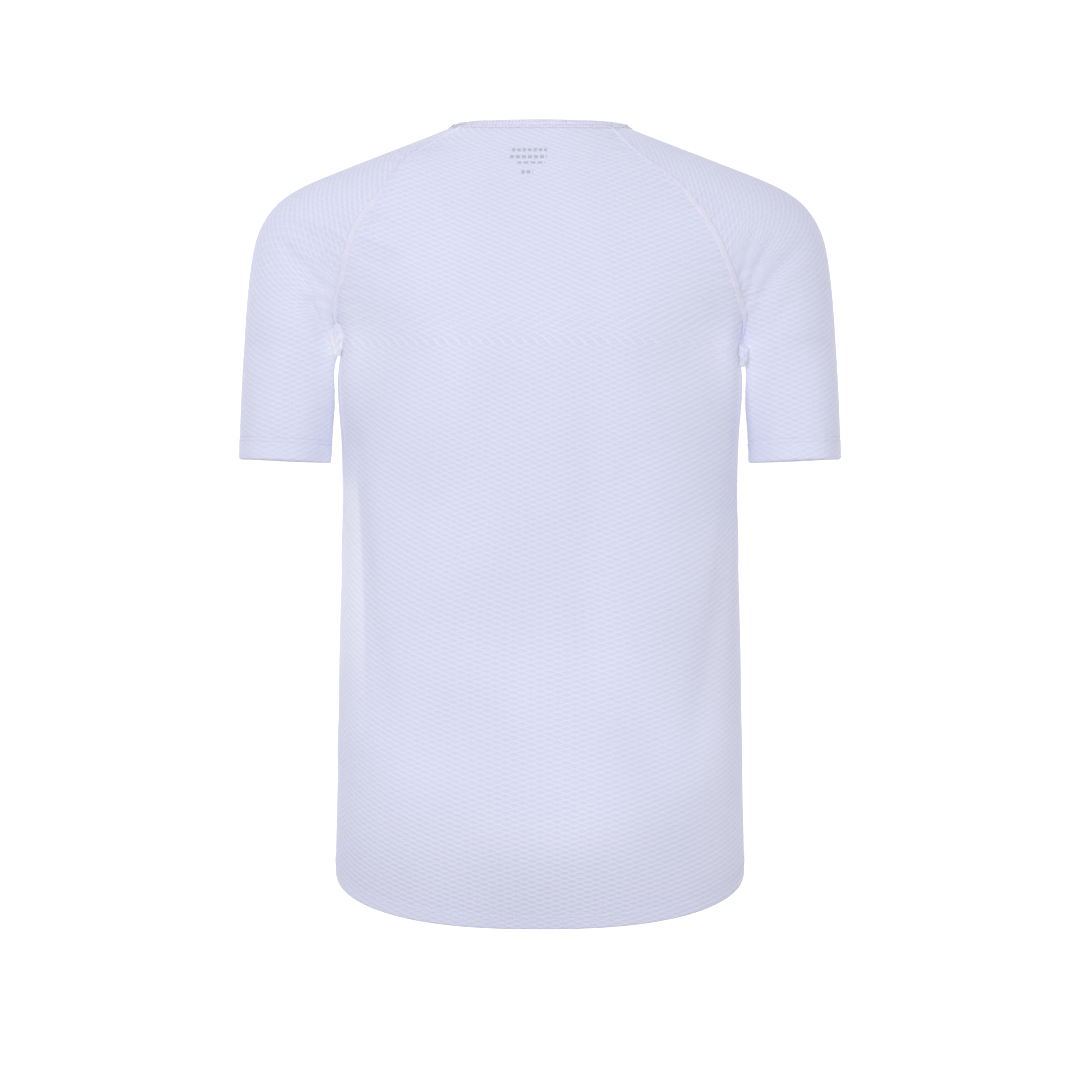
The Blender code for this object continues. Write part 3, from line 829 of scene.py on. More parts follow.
def sleeve_grid(side):
    """The whole sleeve, cuff first. The upper arm takes on the shape of the cap's lowest section
    by degrees."""
    arm, cap = arm_grid(side, arm_shares), cap_grid(side, cap_shares)
    change = cap[0] - arm_grid(side, np.zeros(1))[0]
    taken = 1 - smooth_step(arm_shares / CAP_BLEND)
    return np.concatenate([arm + change * taken[:, None, None], cap])


sleeve_base = {side: sleeve_grid(side) for side in (-1, 1)}
cuff_length = lengths_along(sleeve_base[1][:1], 1)[0, -1]
print("sleeve grid", sleeve_base[1].shape)
print("round the cuff in mm:", round(1000 * cuff_length))

# %% [markdown]
# ## Creases on the sleeves
# Cloth pulls from the underarm up towards the cap, most where the arm is lowered beside the body.
# The left sleeve has one sharp fold beside the underarm and a pair of long dents above it, and the
# right one has a fan of three shallow pulls. In front they are a little softer.

# %% Sleeve creases
SLEEVE_CREASES = {  # the side, and whether they are behind (-1) or in front (1)
    (-1, -1): table(
        CREASE,
        (-233, -100, -206, -128, -180, -158, 4, 4, 2),
        (-226, -112, -208, -136, -186, -166, 2.6, 3, 1.5),
        (-201, -152, -190, -176, -179, -204, 1.8, 9, 4),
        (-230, -170, -227, -230, -228, -290, 10, 10, -1.2),
    ),
    (-1, 1): table(
        CREASE,
        (-228, -105, -208, -134, -188, -160, 5, 5, 2.2),
        (-206, -160, -196, -190, -190, -225, 6, 3, 2.6),
    ),
    (1, -1): table(
        CREASE,
        (182, -186, 199, -142, 236, -104, 5, 7, 1.7),
        (178, -176, 184, -138, 206, -98, 3, 4, 1.2),
        (174, -165, 176, -128, 190, -90, 3, 3, 1),
        (190, -205, 204, -178, 226, -150, 6, 6, 1),
    ),
    (1, 1): table(
        CREASE,
        (188, -182, 201, -146, 229, -112, 5, 6, 2.6),
        (184, -210, 196, -190, 218, -172, 4, 6, 2),
    ),
}
SEWN_EDGE = 0.006  # width beside a seam over which the creases fade out, so that it stays sewn
ARM_PUCKER = 0.4  # strength of the puckers beside the sleeve's own seam


def sleeve_points(side):
    """A sleeve's cloth with its creases, puckers and turned cuff."""
    base = sleeve_base[side]
    normals = side * grid_normals(base)
    across, up = lengths_along(base, 1), lengths_along(base, 0)
    edge = np.minimum(across, across[:, -1:] - across)
    sewn = np.arange(len(base))[:, None] >= len(arm_shares)
    pressed = np.zeros(edge.shape)
    for facing in (-1, 1):
        share = smooth_step(facing * base[..., 1] / 0.012)
        creases = SLEEVE_CREASES[side, facing]
        pressed += share * crease_depth(base[..., 0], base[..., 2], creases)
    pressed *= smooth_step(edge / SEWN_EDGE)
    proud = turned_hem(up, across, CUFF_TURN, 0.9 + side) - pressed
    proud += np.where(sewn, 1.0, ARM_PUCKER) * seam_puckers(edge, up, 2.0 + side)
    return base + normals * proud[..., None], across, up


left_points, left_across, left_up = sleeve_points(-1)
right_points, right_across, right_up = sleeve_points(1)
RAGLAN_START.update(left_arm=len(arm_shares), right_arm=len(arm_shares))
print("left sleeve along its top, in mm:", round(1000 * left_up[-1, HALF_STEPS]))

# %% [markdown]
# ## Which way the knit runs
# Every piece gets a UV map in metres of flat cloth, so that one material can draw the same mesh
# everywhere. On the body, u is the distance round the ring from the middle and v the distance up
# the cloth. Over the seat the knit is stretched sideways, which opens its cells, and the whole
# shirt is turned by a few degrees. On the sleeves u runs round the arm from the top line and v
# along it, so the cells stand upright on the shoulder.

# %% UV maps of the panels
STRETCH = table(
    "height wide",
    (0, 0.98), (-150, 0.97), (-300, 0.98), (-345, 1.04), (-385, 1.13), (-425, 1.24), (-468, 1.31),
    (-511, 1.28), (-555, 1.24), (-600, 1.22), (-640, 1.18), (-700, 1.12),
)
TAKEN_BESIDE = 0.85  # share of what the stretch takes in the middle that the sides give back
KNIT_TILT = math.radians(3.5)
PROFILE_FOOT = -0.72  # where the profile lines of the back and the front start


def cloth_height(height, face):
    """Distance up the middle of the back or the front: the running length of its profile line."""
    line = np.linspace(PROFILE_FOOT, 0.0, 361)
    step = np.hypot(np.diff(line), np.diff(column(BODY, face, line)))
    return np.interp(height, line, np.concatenate([[0], np.cumsum(step)]))


def panel_uv(points, angle, height, face):
    """u is the level distance from the middle column, less where the knit is stretched and more
    beside that; v is the height, lengthened by the slope of the middle of the back or the front
    where the cloth faces that way."""
    across = lengths_along(points[..., :2], 1)
    across = across - across[:, across.shape[1] // 2][:, None]
    widest = np.abs(across).max(axis=1, keepdims=True)
    wide = column(STRETCH, "wide", height)
    u = across / wide + TAKEN_BESIDE * (1 - 1 / wide) * widest * (across / widest) ** 3
    v = height + np.cos(angle) ** 2 * (cloth_height(height, face) + PROFILE_FOOT - height)
    v = v + 0.010 * smooth_step((height + 0.050) / 0.050)
    return np.stack([u, v + math.tan(KNIT_TILT) * u], axis=-1)


# %% UV maps of the sleeves
GRAIN = {-1: (0.1550, -0.1740, 58), 1: (0.1600, -0.1480, 80)}  # across, height, turn in degrees
GRAIN_RADIUS = 0.075


def grain_place(points, side):
    """Along the knit's rows and across them, the rows' direction in the plane of the arm, and how
    open they are.

    Below the turning point the rows are level. Above it they turn like spokes, up to the given
    angle, and past that they are parallel again: square to the shoulder's slope."""
    across, height, turn = GRAIN[side]
    turn = math.radians(turn)
    x, z = side * points[..., 0] - across, points[..., 2] - height
    angle = np.where(z > 0, np.clip(np.arctan2(z, x), 0, turn), 0.0)
    along = x * np.cos(angle) + z * np.sin(angle)
    beyond = z * np.cos(angle) - x * np.sin(angle)
    way = np.stack([side * np.cos(angle), 0 * angle, np.sin(angle)], axis=-1)
    turning = (angle > 0) & (angle < turn)
    opened = np.where(turning, np.clip(along / GRAIN_RADIUS, 0, 1), 1)
    return along, GRAIN_RADIUS * angle + beyond, way, opened


def sleeve_uv(points, across, side):
    """v runs up the arm, across the knit's rows. u is the distance round from the top line:
    measured along the grid on the arm, and near the neck the 1.5-power mean of how far a point is
    in from the top line and back."""
    along, v, way, opened = grain_place(points, side)
    round_arm = np.abs(across - across[:, HALF_STEPS][:, None])
    top_v, top_along = v[:, HALF_STEPS], along[:, HALF_STEPS]
    inward = np.maximum(np.interp(v, top_v, top_along) - along, 0)
    round_neck = (inward**1.5 + np.abs(points[..., 1]) ** 1.5) ** (1 / 1.5)
    rows = np.arange(len(points)) - len(arm_shares)
    share = smooth_step(rows / (0.35 * CAP_ROWS))[:, None]
    u = round_arm + (round_neck - round_arm) * share
    before = np.where(np.arange(points.shape[1]) > HALF_STEPS, 1, -1)
    return np.stack([side * before * u, v], axis=-1), side * way, opened


back_uv = panel_uv(back_points, back_angle, back_height, "back")
front_uv = panel_uv(front_points, front_angle, front_height, "front") * np.array([-1.0, 1.0])
left_uv, left_rows, left_open = sleeve_uv(left_points, left_across, -1)
right_uv, right_rows, right_open = sleeve_uv(right_points, right_across, 1)
print("back cloth in mm:", np.round(1000 * np.ptp(back_uv.reshape(-1, 2), axis=0)))

# %% [markdown]
# ## Shader groups
# Four effects are node groups. The mesh group draws the knit's cells: two families of slanting
# cords cross, and where a point is far from both there is a pit. The yarn group adds the small
# loops of the knit and a little fuzz, and the tone group keeps a large piece from looking printed.
# All materials of the shirt use these. The fourth holds the rows of dashes that are printed inside
# the back of the neck, where a shirt has its washing marks, and that show through faintly.

# %% Mesh, yarn and tone groups
FLOAT, VECTOR = "NodeSocketFloat", "NodeSocketVector"


def new_group(name, inputs, outputs):
    """An empty node group; returns the group, what it is given, and its output node.

    Inputs map a name to its number, or to None for a vector; outputs are names of numbers."""
    group = bpy.data.node_groups.new(name, "ShaderNodeTree")
    for label, value in inputs.items():
        kind = VECTOR if value is None else FLOAT
        socket = group.interface.new_socket(label, in_out="INPUT", socket_type=kind)
        if value is not None:
            socket.default_value = value
    for label in outputs:
        group.interface.new_socket(label, in_out="OUTPUT", socket_type=FLOAT)
    given, out = (group.nodes.new(kind) for kind in ("NodeGroupInput", "NodeGroupOutput"))
    return group, given.outputs, out


def make_mesh_group():
    """Each family of cords is where a squared sine is near 0. Both families show, and where the
    cloth turns to one side, Lean fades the cords that run the other way: painted light, for how
    light from the front catches one family more than the other. The relief is low in the pits,
    where both sines are large."""
    inputs = {"Vector": None, "Cell Width": 0.0118, "Cell Height": 0.0048, "Lean": 0.0}
    group, given, out = new_group("mesh_cells", inputs, ("Cord", "Relief"))
    place = split(group, given["Vector"])
    wide = calculate(group, "DIVIDE", place[0], given["Cell Width"])
    high = calculate(group, "DIVIDE", place[1], given["Cell Height"])
    waves, cords = [], []
    for operation, faded in (("ADD", 1.0), ("SUBTRACT", -1.0)):
        turns = calculate(group, operation, wide, high)
        wave = calculate(group, "SINE", calculate(group, "MULTIPLY", turns, math.pi))
        waves.append(calculate(group, "MULTIPLY", wave, wave))
        lean = calculate(group, "MULTIPLY", given["Lean"], faded)
        strength = remap(group, lean, -0.15, 0.55, 1.0, 0.35)
        cord = remap(group, waves[-1], 0.0, 0.30, 1.0, 0.0)
        cords.append(calculate(group, "MULTIPLY", cord, strength))
    cell = calculate(group, "MULTIPLY", *waves)
    relief = remap(group, cell, 0.0, 0.5, 1.0, 0.0)
    fill(group, out, Cord=calculate(group, "MAXIMUM", *cords), Relief=relief)
    return group


def make_yarn_group():
    """Small loops are a product of two sines, and the fuzz is fine noise."""
    inputs = {"Vector": None, "Loops per Metre": 900.0}
    group, given, out = new_group("yarn", inputs, ("Loops", "Fuzz"))
    place = split(group, given["Vector"])
    scale = calculate(group, "MULTIPLY", given["Loops per Metre"], 2 * math.pi)
    turns = [calculate(group, "MULTIPLY", place[axis], scale) for axis in (0, 1)]
    waves = [calculate(group, "SINE", turn) for turn in turns]
    fine = dict(Vector=given["Vector"], Scale=given["Loops per Metre"], Detail=2.0)
    noise = add_node(group, "TexNoise", **fine)
    fill(group, out, Loops=calculate(group, "MULTIPLY", *waves), Fuzz=noise[0])
    return group


def make_tone_group():
    """Broad, faint unevenness: soft noise a hand wide."""
    group, given, out = new_group("broad_tone", {"Vector": None, "Least": 0.97}, ("Tone",))
    noise = add_node(group, "TexNoise", Vector=given["Vector"], Scale=9.0, Detail=1.0)
    fill(group, out, Tone=remap(group, noise[0], 0.3, 0.7, given["Least"], 1.0))
    return group


# %% Printed dashes
PRINT_ROWS = table(  # as seen from behind
    "left right height tall dash",
    (-25.8, 6, -31.2, 3, 4.6), (-25.8, 6, -37.5, 3.2, 5.2), (-19.5, 4.5, -42.8, 2.2, 6),
    (-16, -6.2, -51.2, 3.4, 4.9),
)


def make_print_group():
    """Rows of dashes: a box with soft edges, cut up by a sine along it."""
    group, given, out = new_group("printed_dashes", {"Vector": None}, ("Ink",))
    place = split(group, given["Vector"])
    ink = 0.0
    for left, right, height, tall, dash in zip(*PRINT_ROWS.values()):
        from_middle = calculate(group, "SUBTRACT", place[0], (left + right) / 2)
        along = calculate(group, "ABSOLUTE", from_middle)
        beside = calculate(group, "ABSOLUTE", calculate(group, "SUBTRACT", place[2], height))
        half = (right - left) / 2
        in_row = remap(group, along, half - 0.0004, half + 0.0004, 1.0, 0.0)
        in_height = remap(group, beside, tall / 2 - 0.0006, tall / 2 + 0.0004, 1.0, 0.0)
        turns = calculate(group, "MULTIPLY", from_middle, 2 * math.pi / dash)
        in_dash = remap(group, calculate(group, "SINE", turns), -0.8, -0.2, 0.0, 1.0)
        box = calculate(group, "MULTIPLY", in_row, in_height)
        ink = calculate(group, "MAXIMUM", ink, calculate(group, "MULTIPLY", box, in_dash))
    fill(group, out, Ink=ink)
    return group


MESH_CELLS, YARN, BROAD_TONE = make_mesh_group(), make_yarn_group(), make_tone_group()
PRINTED_DASHES = make_print_group()
print("groups:", ", ".join(group.name for group in bpy.data.node_groups))

# %% [markdown]
# ## The knit
# White polyester mesh with a breath of lavender in it: matt, lighter on its cords and darker in its
# pits, partly by painted shade for the shaded inside seen through the open cells, and more so low
# down, where the cloth turns in. Where the cloth is doubled, at the hem and the cuffs, the layer
# below fills the pits, so a second, shifted mesh is laid in there. Thin white cloth also lets light
# through. Real transmission through two layers of mesh is slow to render, so the cloth glows
# faintly instead, a painted light, with more painted light in patches that lift the shade between
# arm and body and light a strip down the left side.

# %% Knit material
CORD_COLOUR = (0.702, 0.714, 0.870, 1)
# The pits are darker partly by painted shade: the shaded inside seen through the open cells
SHADED_PIT_COLOUR = (0.655, 0.660, 0.812, 1)
TAIL_SHADED_PIT_COLOUR = (0.630, 0.630, 0.780, 1)  # painted shade in the tail, where the cloth turns down and its pits lie in shade
TAIL_SHADE_HEIGHTS = (-0.560, -0.680)  # heights between which the pits take on more painted shade
PAINTED_CLOTH_GLOW = (0.13, 0.13, 0.13, 1)  # painted glow for the light through the thin cloth, as a share of the cloth's own colour
PAINTED_LIGHT_COLOUR = (0.105, 0.108, 0.070, 1)  # painted light, added where the mesh's painted light number says
LAYER_SHIFT = (0.0031, 0.0013, 0)  # from one layer's cells to those of the layer below
LAYER_SHOWS = 0.6
INK = 0.30
RELIEF = 0.0002  # height of the cords


def use_group(tree, group, **values):
    """A group node with these inputs; returns its outputs."""
    node = tree.nodes.new("ShaderNodeGroup")
    node.node_tree = group
    fill(tree, node, **values)
    return node.outputs


def cloth_material(name):
    """A material with its shader set for matt cloth."""
    material, tree, shader, places = new_material(name)
    fill(tree, shader, Specular_IOR_Level=0.25, Sheen_Weight=0.08, Sheen_Roughness=0.5)
    return material, tree, shader, places


def attribute(tree, name):
    """A number stored with the mesh."""
    node = tree.nodes.new("ShaderNodeAttribute")
    node.attribute_name = name
    return node.outputs["Fac"]


def finish_cloth(tree, shader, colour, roughness, height, distance):
    """The cloth's colour, roughness and relief, and painted light: a faint glow of its colour that
    stands for the light the thin cloth lets through, with more painted light where the mesh says."""
    painted_glow = blend_colour(tree, 1.0, colour, PAINTED_CLOTH_GLOW, "MULTIPLY")
    painted_glow = blend_colour(tree, attribute(tree, "painted_light"), painted_glow, PAINTED_LIGHT_COLOUR, "ADD")
    fill(tree, shader, Base_Color=colour, Emission_Color=painted_glow, Emission_Strength=1.0)
    bump = add_node(tree, "Bump", Strength=1.0, Distance=distance, Height=height)
    fill(tree, shader, Roughness=roughness, Normal=bump["Normal"])


def make_knit(name, printed=False):
    """Colour, roughness and relief of the openwork knit, with painted shade in its pits and painted
    light on its cords.
    """
    material, tree, shader, places = cloth_material(name)
    lean = attribute(tree, "lean")
    cells = use_group(tree, MESH_CELLS, Vector=places["UV"], Lean=lean)
    shifted = add_node(tree, "Mapping", Vector=places["UV"], Location=LAYER_SHIFT)[0]
    under = use_group(tree, MESH_CELLS, Vector=shifted, Lean=lean)
    seen_through = calculate(tree, "MULTIPLY", under["Cord"], attribute(tree, "doubled"))
    seen_through = calculate(tree, "MULTIPLY", seen_through, LAYER_SHOWS)
    cord = calculate(tree, "MAXIMUM", cells["Cord"], seen_through)
    yarn = use_group(tree, YARN, Vector=places["UV"])
    tone = use_group(tree, BROAD_TONE, Vector=places["Object"])
    # Painted shade: towards the hem the pits get darker, where the cloth below the seat turns in
    tail_shade = remap(tree, split(tree, places["Object"])[2], *TAIL_SHADE_HEIGHTS, 0.0, 1.0)
    pit_shade = blend_colour(tree, tail_shade, SHADED_PIT_COLOUR, TAIL_SHADED_PIT_COLOUR)
    grain = calculate(tree, "MULTIPLY_ADD", yarn["Fuzz"], 0.06, 0.97)
    shade = calculate(tree, "MULTIPLY", grain, tone["Tone"])
    if printed:
        marks = use_group(tree, PRINTED_DASHES, Vector=places["Object"])
        inked = calculate(tree, "MULTIPLY_ADD", marks["Ink"], -INK, 1.0)
        shade = calculate(tree, "MULTIPLY", shade, inked)
    colour = blend_colour(tree, cord, pit_shade, CORD_COLOUR)
    colour = blend_colour(tree, 1.0, colour, shade, "MULTIPLY")
    roughness = calculate(tree, "MULTIPLY_ADD", cord, -0.12, 0.88)
    relief = calculate(tree, "MULTIPLY", cells["Relief"], attribute(tree, "open"))
    relief = calculate(tree, "MULTIPLY_ADD", yarn["Loops"], 0.05, relief)
    finish_cloth(tree, shader, colour, roughness, relief, RELIEF)
    return material


print("cords are", round(CORD_COLOUR[1] / SHADED_PIT_COLOUR[1], 2), "times as light as pits")

# %% [markdown]
# ## Sewing the pieces into the scene
# A grid becomes a mesh, its flat map becomes the UV map, and Solidify gives it the cloth's
# thickness inwards, so that the outer face stays on the solid's form. Four numbers are stored with
# each point for the material: whether the cloth is doubled there, how far it leans, which fades one
# family of cords as painted light, how open its cells are, and how much painted light it glows
# with. The back, the front, both sleeves and the band each take the place of one CAD node.

# %% Painted light and lean
CLOTH = 0.0010  # thickness of the knit
# Amounts of painted light in each glowing patch
PAINTED_LIGHT_AMOUNTS = dict(
    gap=0.75, strip=0.80, left_neck=0.85, right_neck=0.50, armpit=0.28, seat=0.25, flank=0.24
)
GAP_LINE = (-0.30, -0.20), (0.183, 0.176)  # heights, and the gap between arm and body there
# Where the painted lit strip down the left side has its sharp edge: heights, then x
LIT_STRIP_EDGE = (-0.56, -0.42, -0.36, -0.28), (-0.148, -0.1505, -0.1530, -0.1590)
NECK_EDGE_PAINTED_LIGHT = 0.7, 0.0022  # painted light along the neckline below the band, and its width


def outward_of(points):
    """A grid's normals, turned to point away from the middle of the piece."""
    normals = grid_normals(points)
    middle = points.reshape(-1, 3).mean(axis=0)
    return normals * np.sign((normals * (points - middle) * np.array([1, 1, 0])).sum())


def painted_cord_light(points):
    """Painted light on the cords high on the back: how the light favours one family of cords, a
    little in the middle, the other way beside the left raglan seam."""
    x, z = points[..., 0], points[..., 2]
    middle = bell(x, 0, 0.09) * smooth_step((z + 0.26) / 0.12)
    corner = bell(x, -0.150, 0.030) * bell(z, -0.070, 0.035)
    return 0.9 * corner - 0.35 * middle


def painted_light_patches(points):
    """Painted light, added up from soft patches, where the cloth glows to lift its shade or to look
    lit.

    Most of it is along the gap between arm and body, behind and in front alike, and in a lit strip
    down the left side with a sharp edge. There is more on the slopes beside the neck, and behind a
    little beside each underarm, below the seat and down the right flank."""
    x, y, z = np.moveaxis(points, -1, 0)
    aside, behind = np.abs(x), smooth_step(-y / 0.030)
    gap = bell(aside, np.interp(z, *GAP_LINE), 0.010) * fade_between(z, -0.345, 0.03, -0.185, 0.02)
    strip = smooth_step((np.interp(z, *LIT_STRIP_EDGE) - x) / 0.003)
    strip = strip * fade_between(z, -0.56, 0.16, -0.300, 0.03) * smooth_step((0.020 - y) / 0.030)
    neck = bell(aside, 0.085, 0.022) * bell(z, -0.004, 0.012)
    armpit = behind * bell(aside, 0.150, 0.022) * bell(z, -0.200, 0.035)
    seat = behind * np.exp(-((x / 0.095) ** 4)) * bell(z, -0.618, 0.022)
    flank = behind * bell(x, 0.154, 0.020) * fade_between(z, -0.690, 0.06, -0.330, 0.05)
    around = PAINTED_LIGHT_AMOUNTS["gap"] * gap + PAINTED_LIGHT_AMOUNTS["strip"] * strip
    around = around + np.where(x < 0, PAINTED_LIGHT_AMOUNTS["left_neck"], PAINTED_LIGHT_AMOUNTS["right_neck"]) * neck
    return around + PAINTED_LIGHT_AMOUNTS["armpit"] * armpit + PAINTED_LIGHT_AMOUNTS["seat"] * seat + PAINTED_LIGHT_AMOUNTS["flank"] * flank


# %% Cloth pieces


def cloth_piece(
    name, points, uv, material, closed_rows=0, thickness=CLOTH, added_painted_light=0.0, **numbers
):
    """A thin shell on a grid of points. Its first closed_rows rows are joined into a tube.

    The other numbers are stored with its points for the material, and are the same everywhere
    unless they are given as a grid."""
    rows, columns, _ = points.shape
    corner = np.arange(rows * columns).reshape(rows, columns)
    joined = corner.copy()
    joined[:closed_rows, -1] = joined[:closed_rows, 0]
    used, joined = np.unique(joined, return_inverse=True)
    faces, corners = grid_faces(joined.reshape(rows, columns)), grid_faces(corner)
    flat = points.reshape(-1, 3)
    a, b, c, d = (flat[corners[:, i]] for i in range(4))
    outward = np.cross(c - a, d - b) * ((a + c) / 2 - flat.mean(axis=0)) * np.array([1, 1, 0])
    if outward.sum() < 0:
        faces, corners = faces[:, ::-1], corners[:, ::-1]
    piece = make_piece(name, flat[used], faces, material)
    uv_layer = piece.data.uv_layers.new(name="cloth")
    uv_layer.data.foreach_set("uv", uv.reshape(-1, 2)[corners.ravel()].ravel())
    numbers = {"doubled": 0.0, "lean": 0.0, "open": 1.0, **numbers}
    # painted light: glow in patches where the cloth is to look lit
    numbers["painted_light"] = painted_light_patches(points) + added_painted_light
    for label, values in numbers.items():
        values = np.broadcast_to(np.asarray(values, float), (rows, columns))
        layer = piece.data.attributes.new(label, "FLOAT", "POINT")
        layer.data.foreach_set("value", values.reshape(-1)[used])
    wall = piece.modifiers.new("thickness", "SOLIDIFY")
    wall.thickness, wall.offset = thickness, -1
    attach(piece, "root")
    return piece


def flat_area(points):
    """Area of a grid of points in square metres."""
    across = points[:-1, 1:] - points[1:, :-1]
    along = points[1:, 1:] - points[:-1, :-1]
    return float(np.linalg.norm(np.cross(across, along), axis=-1).sum() / 2)


def declare(piece, node, points, across, up):
    """Hides the CAD node that the piece stands for, and prints how large it was cut: the longest
    way across its grid, the longest way up, and the area of its faces."""
    flat = float(across[:, -1].max()), float(up[-1].max())
    area = flat_area(points)
    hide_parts(node)
    area = min(area, 0.999 * flat[0] * flat[1])
    size = f"{1000 * flat[0]:.0f} x {1000 * flat[1]:.0f} mm"
    print(f"{piece.name}: cut {size}, {10000 * area:.0f} square cm")


def below(up, turn):
    """1 where the cloth is doubled, below its stitch line."""
    return smooth_step((turn - up) / 0.001)


# %% Back, front and sleeves
POINTS = dict(
    back=back_points, front=front_points, left_arm=left_points, right_arm=right_points
)
NORMALS = {name: outward_of(points) for name, points in POINTS.items()}
back = cloth_piece(
    "back",
    back_points,
    back_uv,
    make_knit("back_knit", printed=True),
    doubled=below(back_up, TAIL_TURN),
    # painted light: the cloth's sideways lean decides which family of cords shows more
    lean=NORMALS["back"][..., 0] + painted_cord_light(back_points),
    # painted light along the neckline, just below the band
    added_painted_light=NECK_EDGE_PAINTED_LIGHT[0] * bell(back_up, back_up[-1], NECK_EDGE_PAINTED_LIGHT[1]),
)
front = cloth_piece(
    "front",
    front_points,
    front_uv,
    make_knit("front_knit"),
    doubled=below(front_up, TAIL_TURN),
    lean=NORMALS["front"][..., 0],
)
declare(back, "back_panel", back_points, back_across, back_up)
declare(front, "front_panel", front_points, front_across, front_up)
for side, points, uv, across, up, rows, opened in (
    ("left", left_points, left_uv, left_across, left_up, left_rows, left_open),
    ("right", right_points, right_uv, right_across, right_up, right_rows, right_open),
):
    sleeve = cloth_piece(
        f"{side}_arm",
        points,
        uv,
        make_knit(f"{side}_knit"),
        closed_rows=len(arm_shares),
        doubled=below(up, CUFF_TURN),
        lean=(NORMALS[f"{side}_arm"] * rows).sum(axis=-1),
        open=opened,
    )
    declare(sleeve, f"{side}_sleeve", points, across, up)

# %% [markdown]
# ## The neck band
# The raw neckline is wrapped in a strip of fine jersey, folded over it and stitched down. In
# section it is a narrow hairpin: up the outside, round the fold and down the inside. That profile
# is carried along the neckline, and leans in towards the neck. Behind, it gets lower towards the
# shoulders, where it lies flatter.

# %% Places along a line


def read_along(vectors, at, wanted):
    """A line's points or normals, read off at the wanted distances along it."""
    return np.stack([np.interp(wanted, at, vectors[:, i]) for i in range(3)], axis=1)


def even_places(length, step):
    """Distances from 0 to a length, about a step apart."""
    return np.linspace(0, length, max(2, round(length / step)) + 1)


# %% Neck band
BAND_WIDTH = 0.012
BAND_LEAN = table("angle inward", (0, 0.69), (90, 0.78), (180, 0.35))
BAND_THICK = 0.0024
BAND_TUCK, BAND_TUCK_DEPTH = 0.008, 0.0014  # how the strip's lower edge turns in below the cloth
BAND_SWELL = 0.0006
BAND_COLOUR = (0.780, 0.768, 0.925, 1)
JERSEY = 0.0005  # thickness
STRAIGHT_STEPS, FOLD_STEPS = 8, 8
CORNER_DROP, CORNER_INWARD = 0.42, 0.0014  # how the band's ends get lower and lie further in


def neckline():
    """The loop of points along the neck: back, right sleeve, front, left sleeve, without doubled
    corners."""
    parts = back_points[-1], right_points[-1, 1:], front_points[-1, 1:], left_points[-1, -2::-1]
    return np.concatenate(parts)


def band_frames(line):
    """For each point of the neckline, the way up the band and the way out of it."""
    radial = unit((line - line.mean(axis=0)) * np.array([1.0, 1.0, 0.0]))
    angle = np.degrees(np.arccos(np.clip(-radial[:, 1], -1, 1)))
    inward = spline(BAND_LEAN["angle"], BAND_LEAN["inward"], angle)
    up = -radial * inward[:, None]
    up[:, 2] = np.sqrt(1 - inward**2)
    return up, unit(radial * up[:, 2:] + np.array([0.0, 0.0, 1.0]) * inward[:, None])


def hairpin():
    """Heights and depths along the folded strip's section: straight up, half a circle, straight
    down."""
    turn = np.linspace(0, math.pi, FOLD_STEPS + 1)
    radius = BAND_THICK / 2
    straight = np.linspace(-0.0008, BAND_WIDTH - radius, STRAIGHT_STEPS + 1)
    fold = straight[-1] + radius * np.sin(turn)
    height = np.concatenate([straight[:-1], fold, straight[-2::-1]])
    tucked = -BAND_TUCK_DEPTH * (1 - smooth_step(straight[:-1] / BAND_TUCK))
    inside = np.full(STRAIGHT_STEPS, -BAND_THICK)
    return height, np.concatenate([tucked, -radius + radius * np.cos(turn), inside])


def make_jersey(name, colour):
    """Fine jersey or a flat seam's covering thread: small loops, faint fuzz and broad tone."""
    material, tree, shader, places = cloth_material(name)
    yarn = use_group(tree, YARN, Vector=places["UV"], Loops_per_Metre=750.0)
    tone = use_group(tree, BROAD_TONE, Vector=places["Object"])
    grain = calculate(tree, "MULTIPLY_ADD", yarn["Loops"], 0.05, tone["Tone"])
    colour = blend_colour(tree, 1.0, colour, grain, "MULTIPLY")
    roughness = calculate(tree, "MULTIPLY_ADD", yarn["Fuzz"], 0.1, 0.75)
    finish_cloth(tree, shader, colour, roughness, yarn["Loops"], RELIEF / 2)
    return material


neck_line = neckline()
neck_at = lengths_along(neck_line, 0)
neck_line = read_along(neck_line, neck_at, even_places(neck_at[-1], 0.0022))
band_up, band_out = band_frames(neck_line)
pin_height, pin_depth = hairpin()
pin_out = pin_depth + BAND_SWELL * np.sin(
    math.pi * np.clip(pin_height / BAND_WIDTH, 0, 1)
) * np.sign(pin_depth + BAND_THICK / 2)
behind = smooth_step(-neck_line[:, 1] / 0.02)
from_middle = np.abs(neck_line[:, 0])
corner = behind * smooth_step((from_middle - 0.058) / 0.024)
lower = 1 - 0.10 * behind * smooth_step((from_middle - 0.02) / 0.055) - CORNER_DROP * corner
sewn_line = neck_line - band_out * (CORNER_INWARD * corner)[:, None]
rise = (pin_height[:, None] * lower)[..., None]
band_points = sewn_line[None] + band_up[None] * rise + band_out[None] * pin_out[:, None, None]
band_across, band_run = lengths_along(band_points, 1), lengths_along(band_points, 0)
band = cloth_piece(
    "band",
    band_points,
    np.stack([band_across, band_run], axis=-1),
    make_jersey("band_jersey", BAND_COLOUR),
    thickness=JERSEY,
    # painted light on the band: a little all over, more at its ends behind and along its lower
    # edge, to lift the shade there
    added_painted_light=0.22 + 0.50 * corner + 0.70 * (1 - smooth_step(pin_height / 0.005))[:, None],
)
declare(band, "neck_band", band_points, band_across, band_run)

# %% [markdown]
# ## Flat seams
# A flatlock seam lays both edges side by side and covers them with thread, so it shows as a
# narrow raised ribbon with a shallow groove down its middle. Its profile is carried along the
# seam, and each half of it lies on its own piece's cloth. It wanders a little and draws in at
# places, as sewn knit does, and gets slimmer towards the neck.

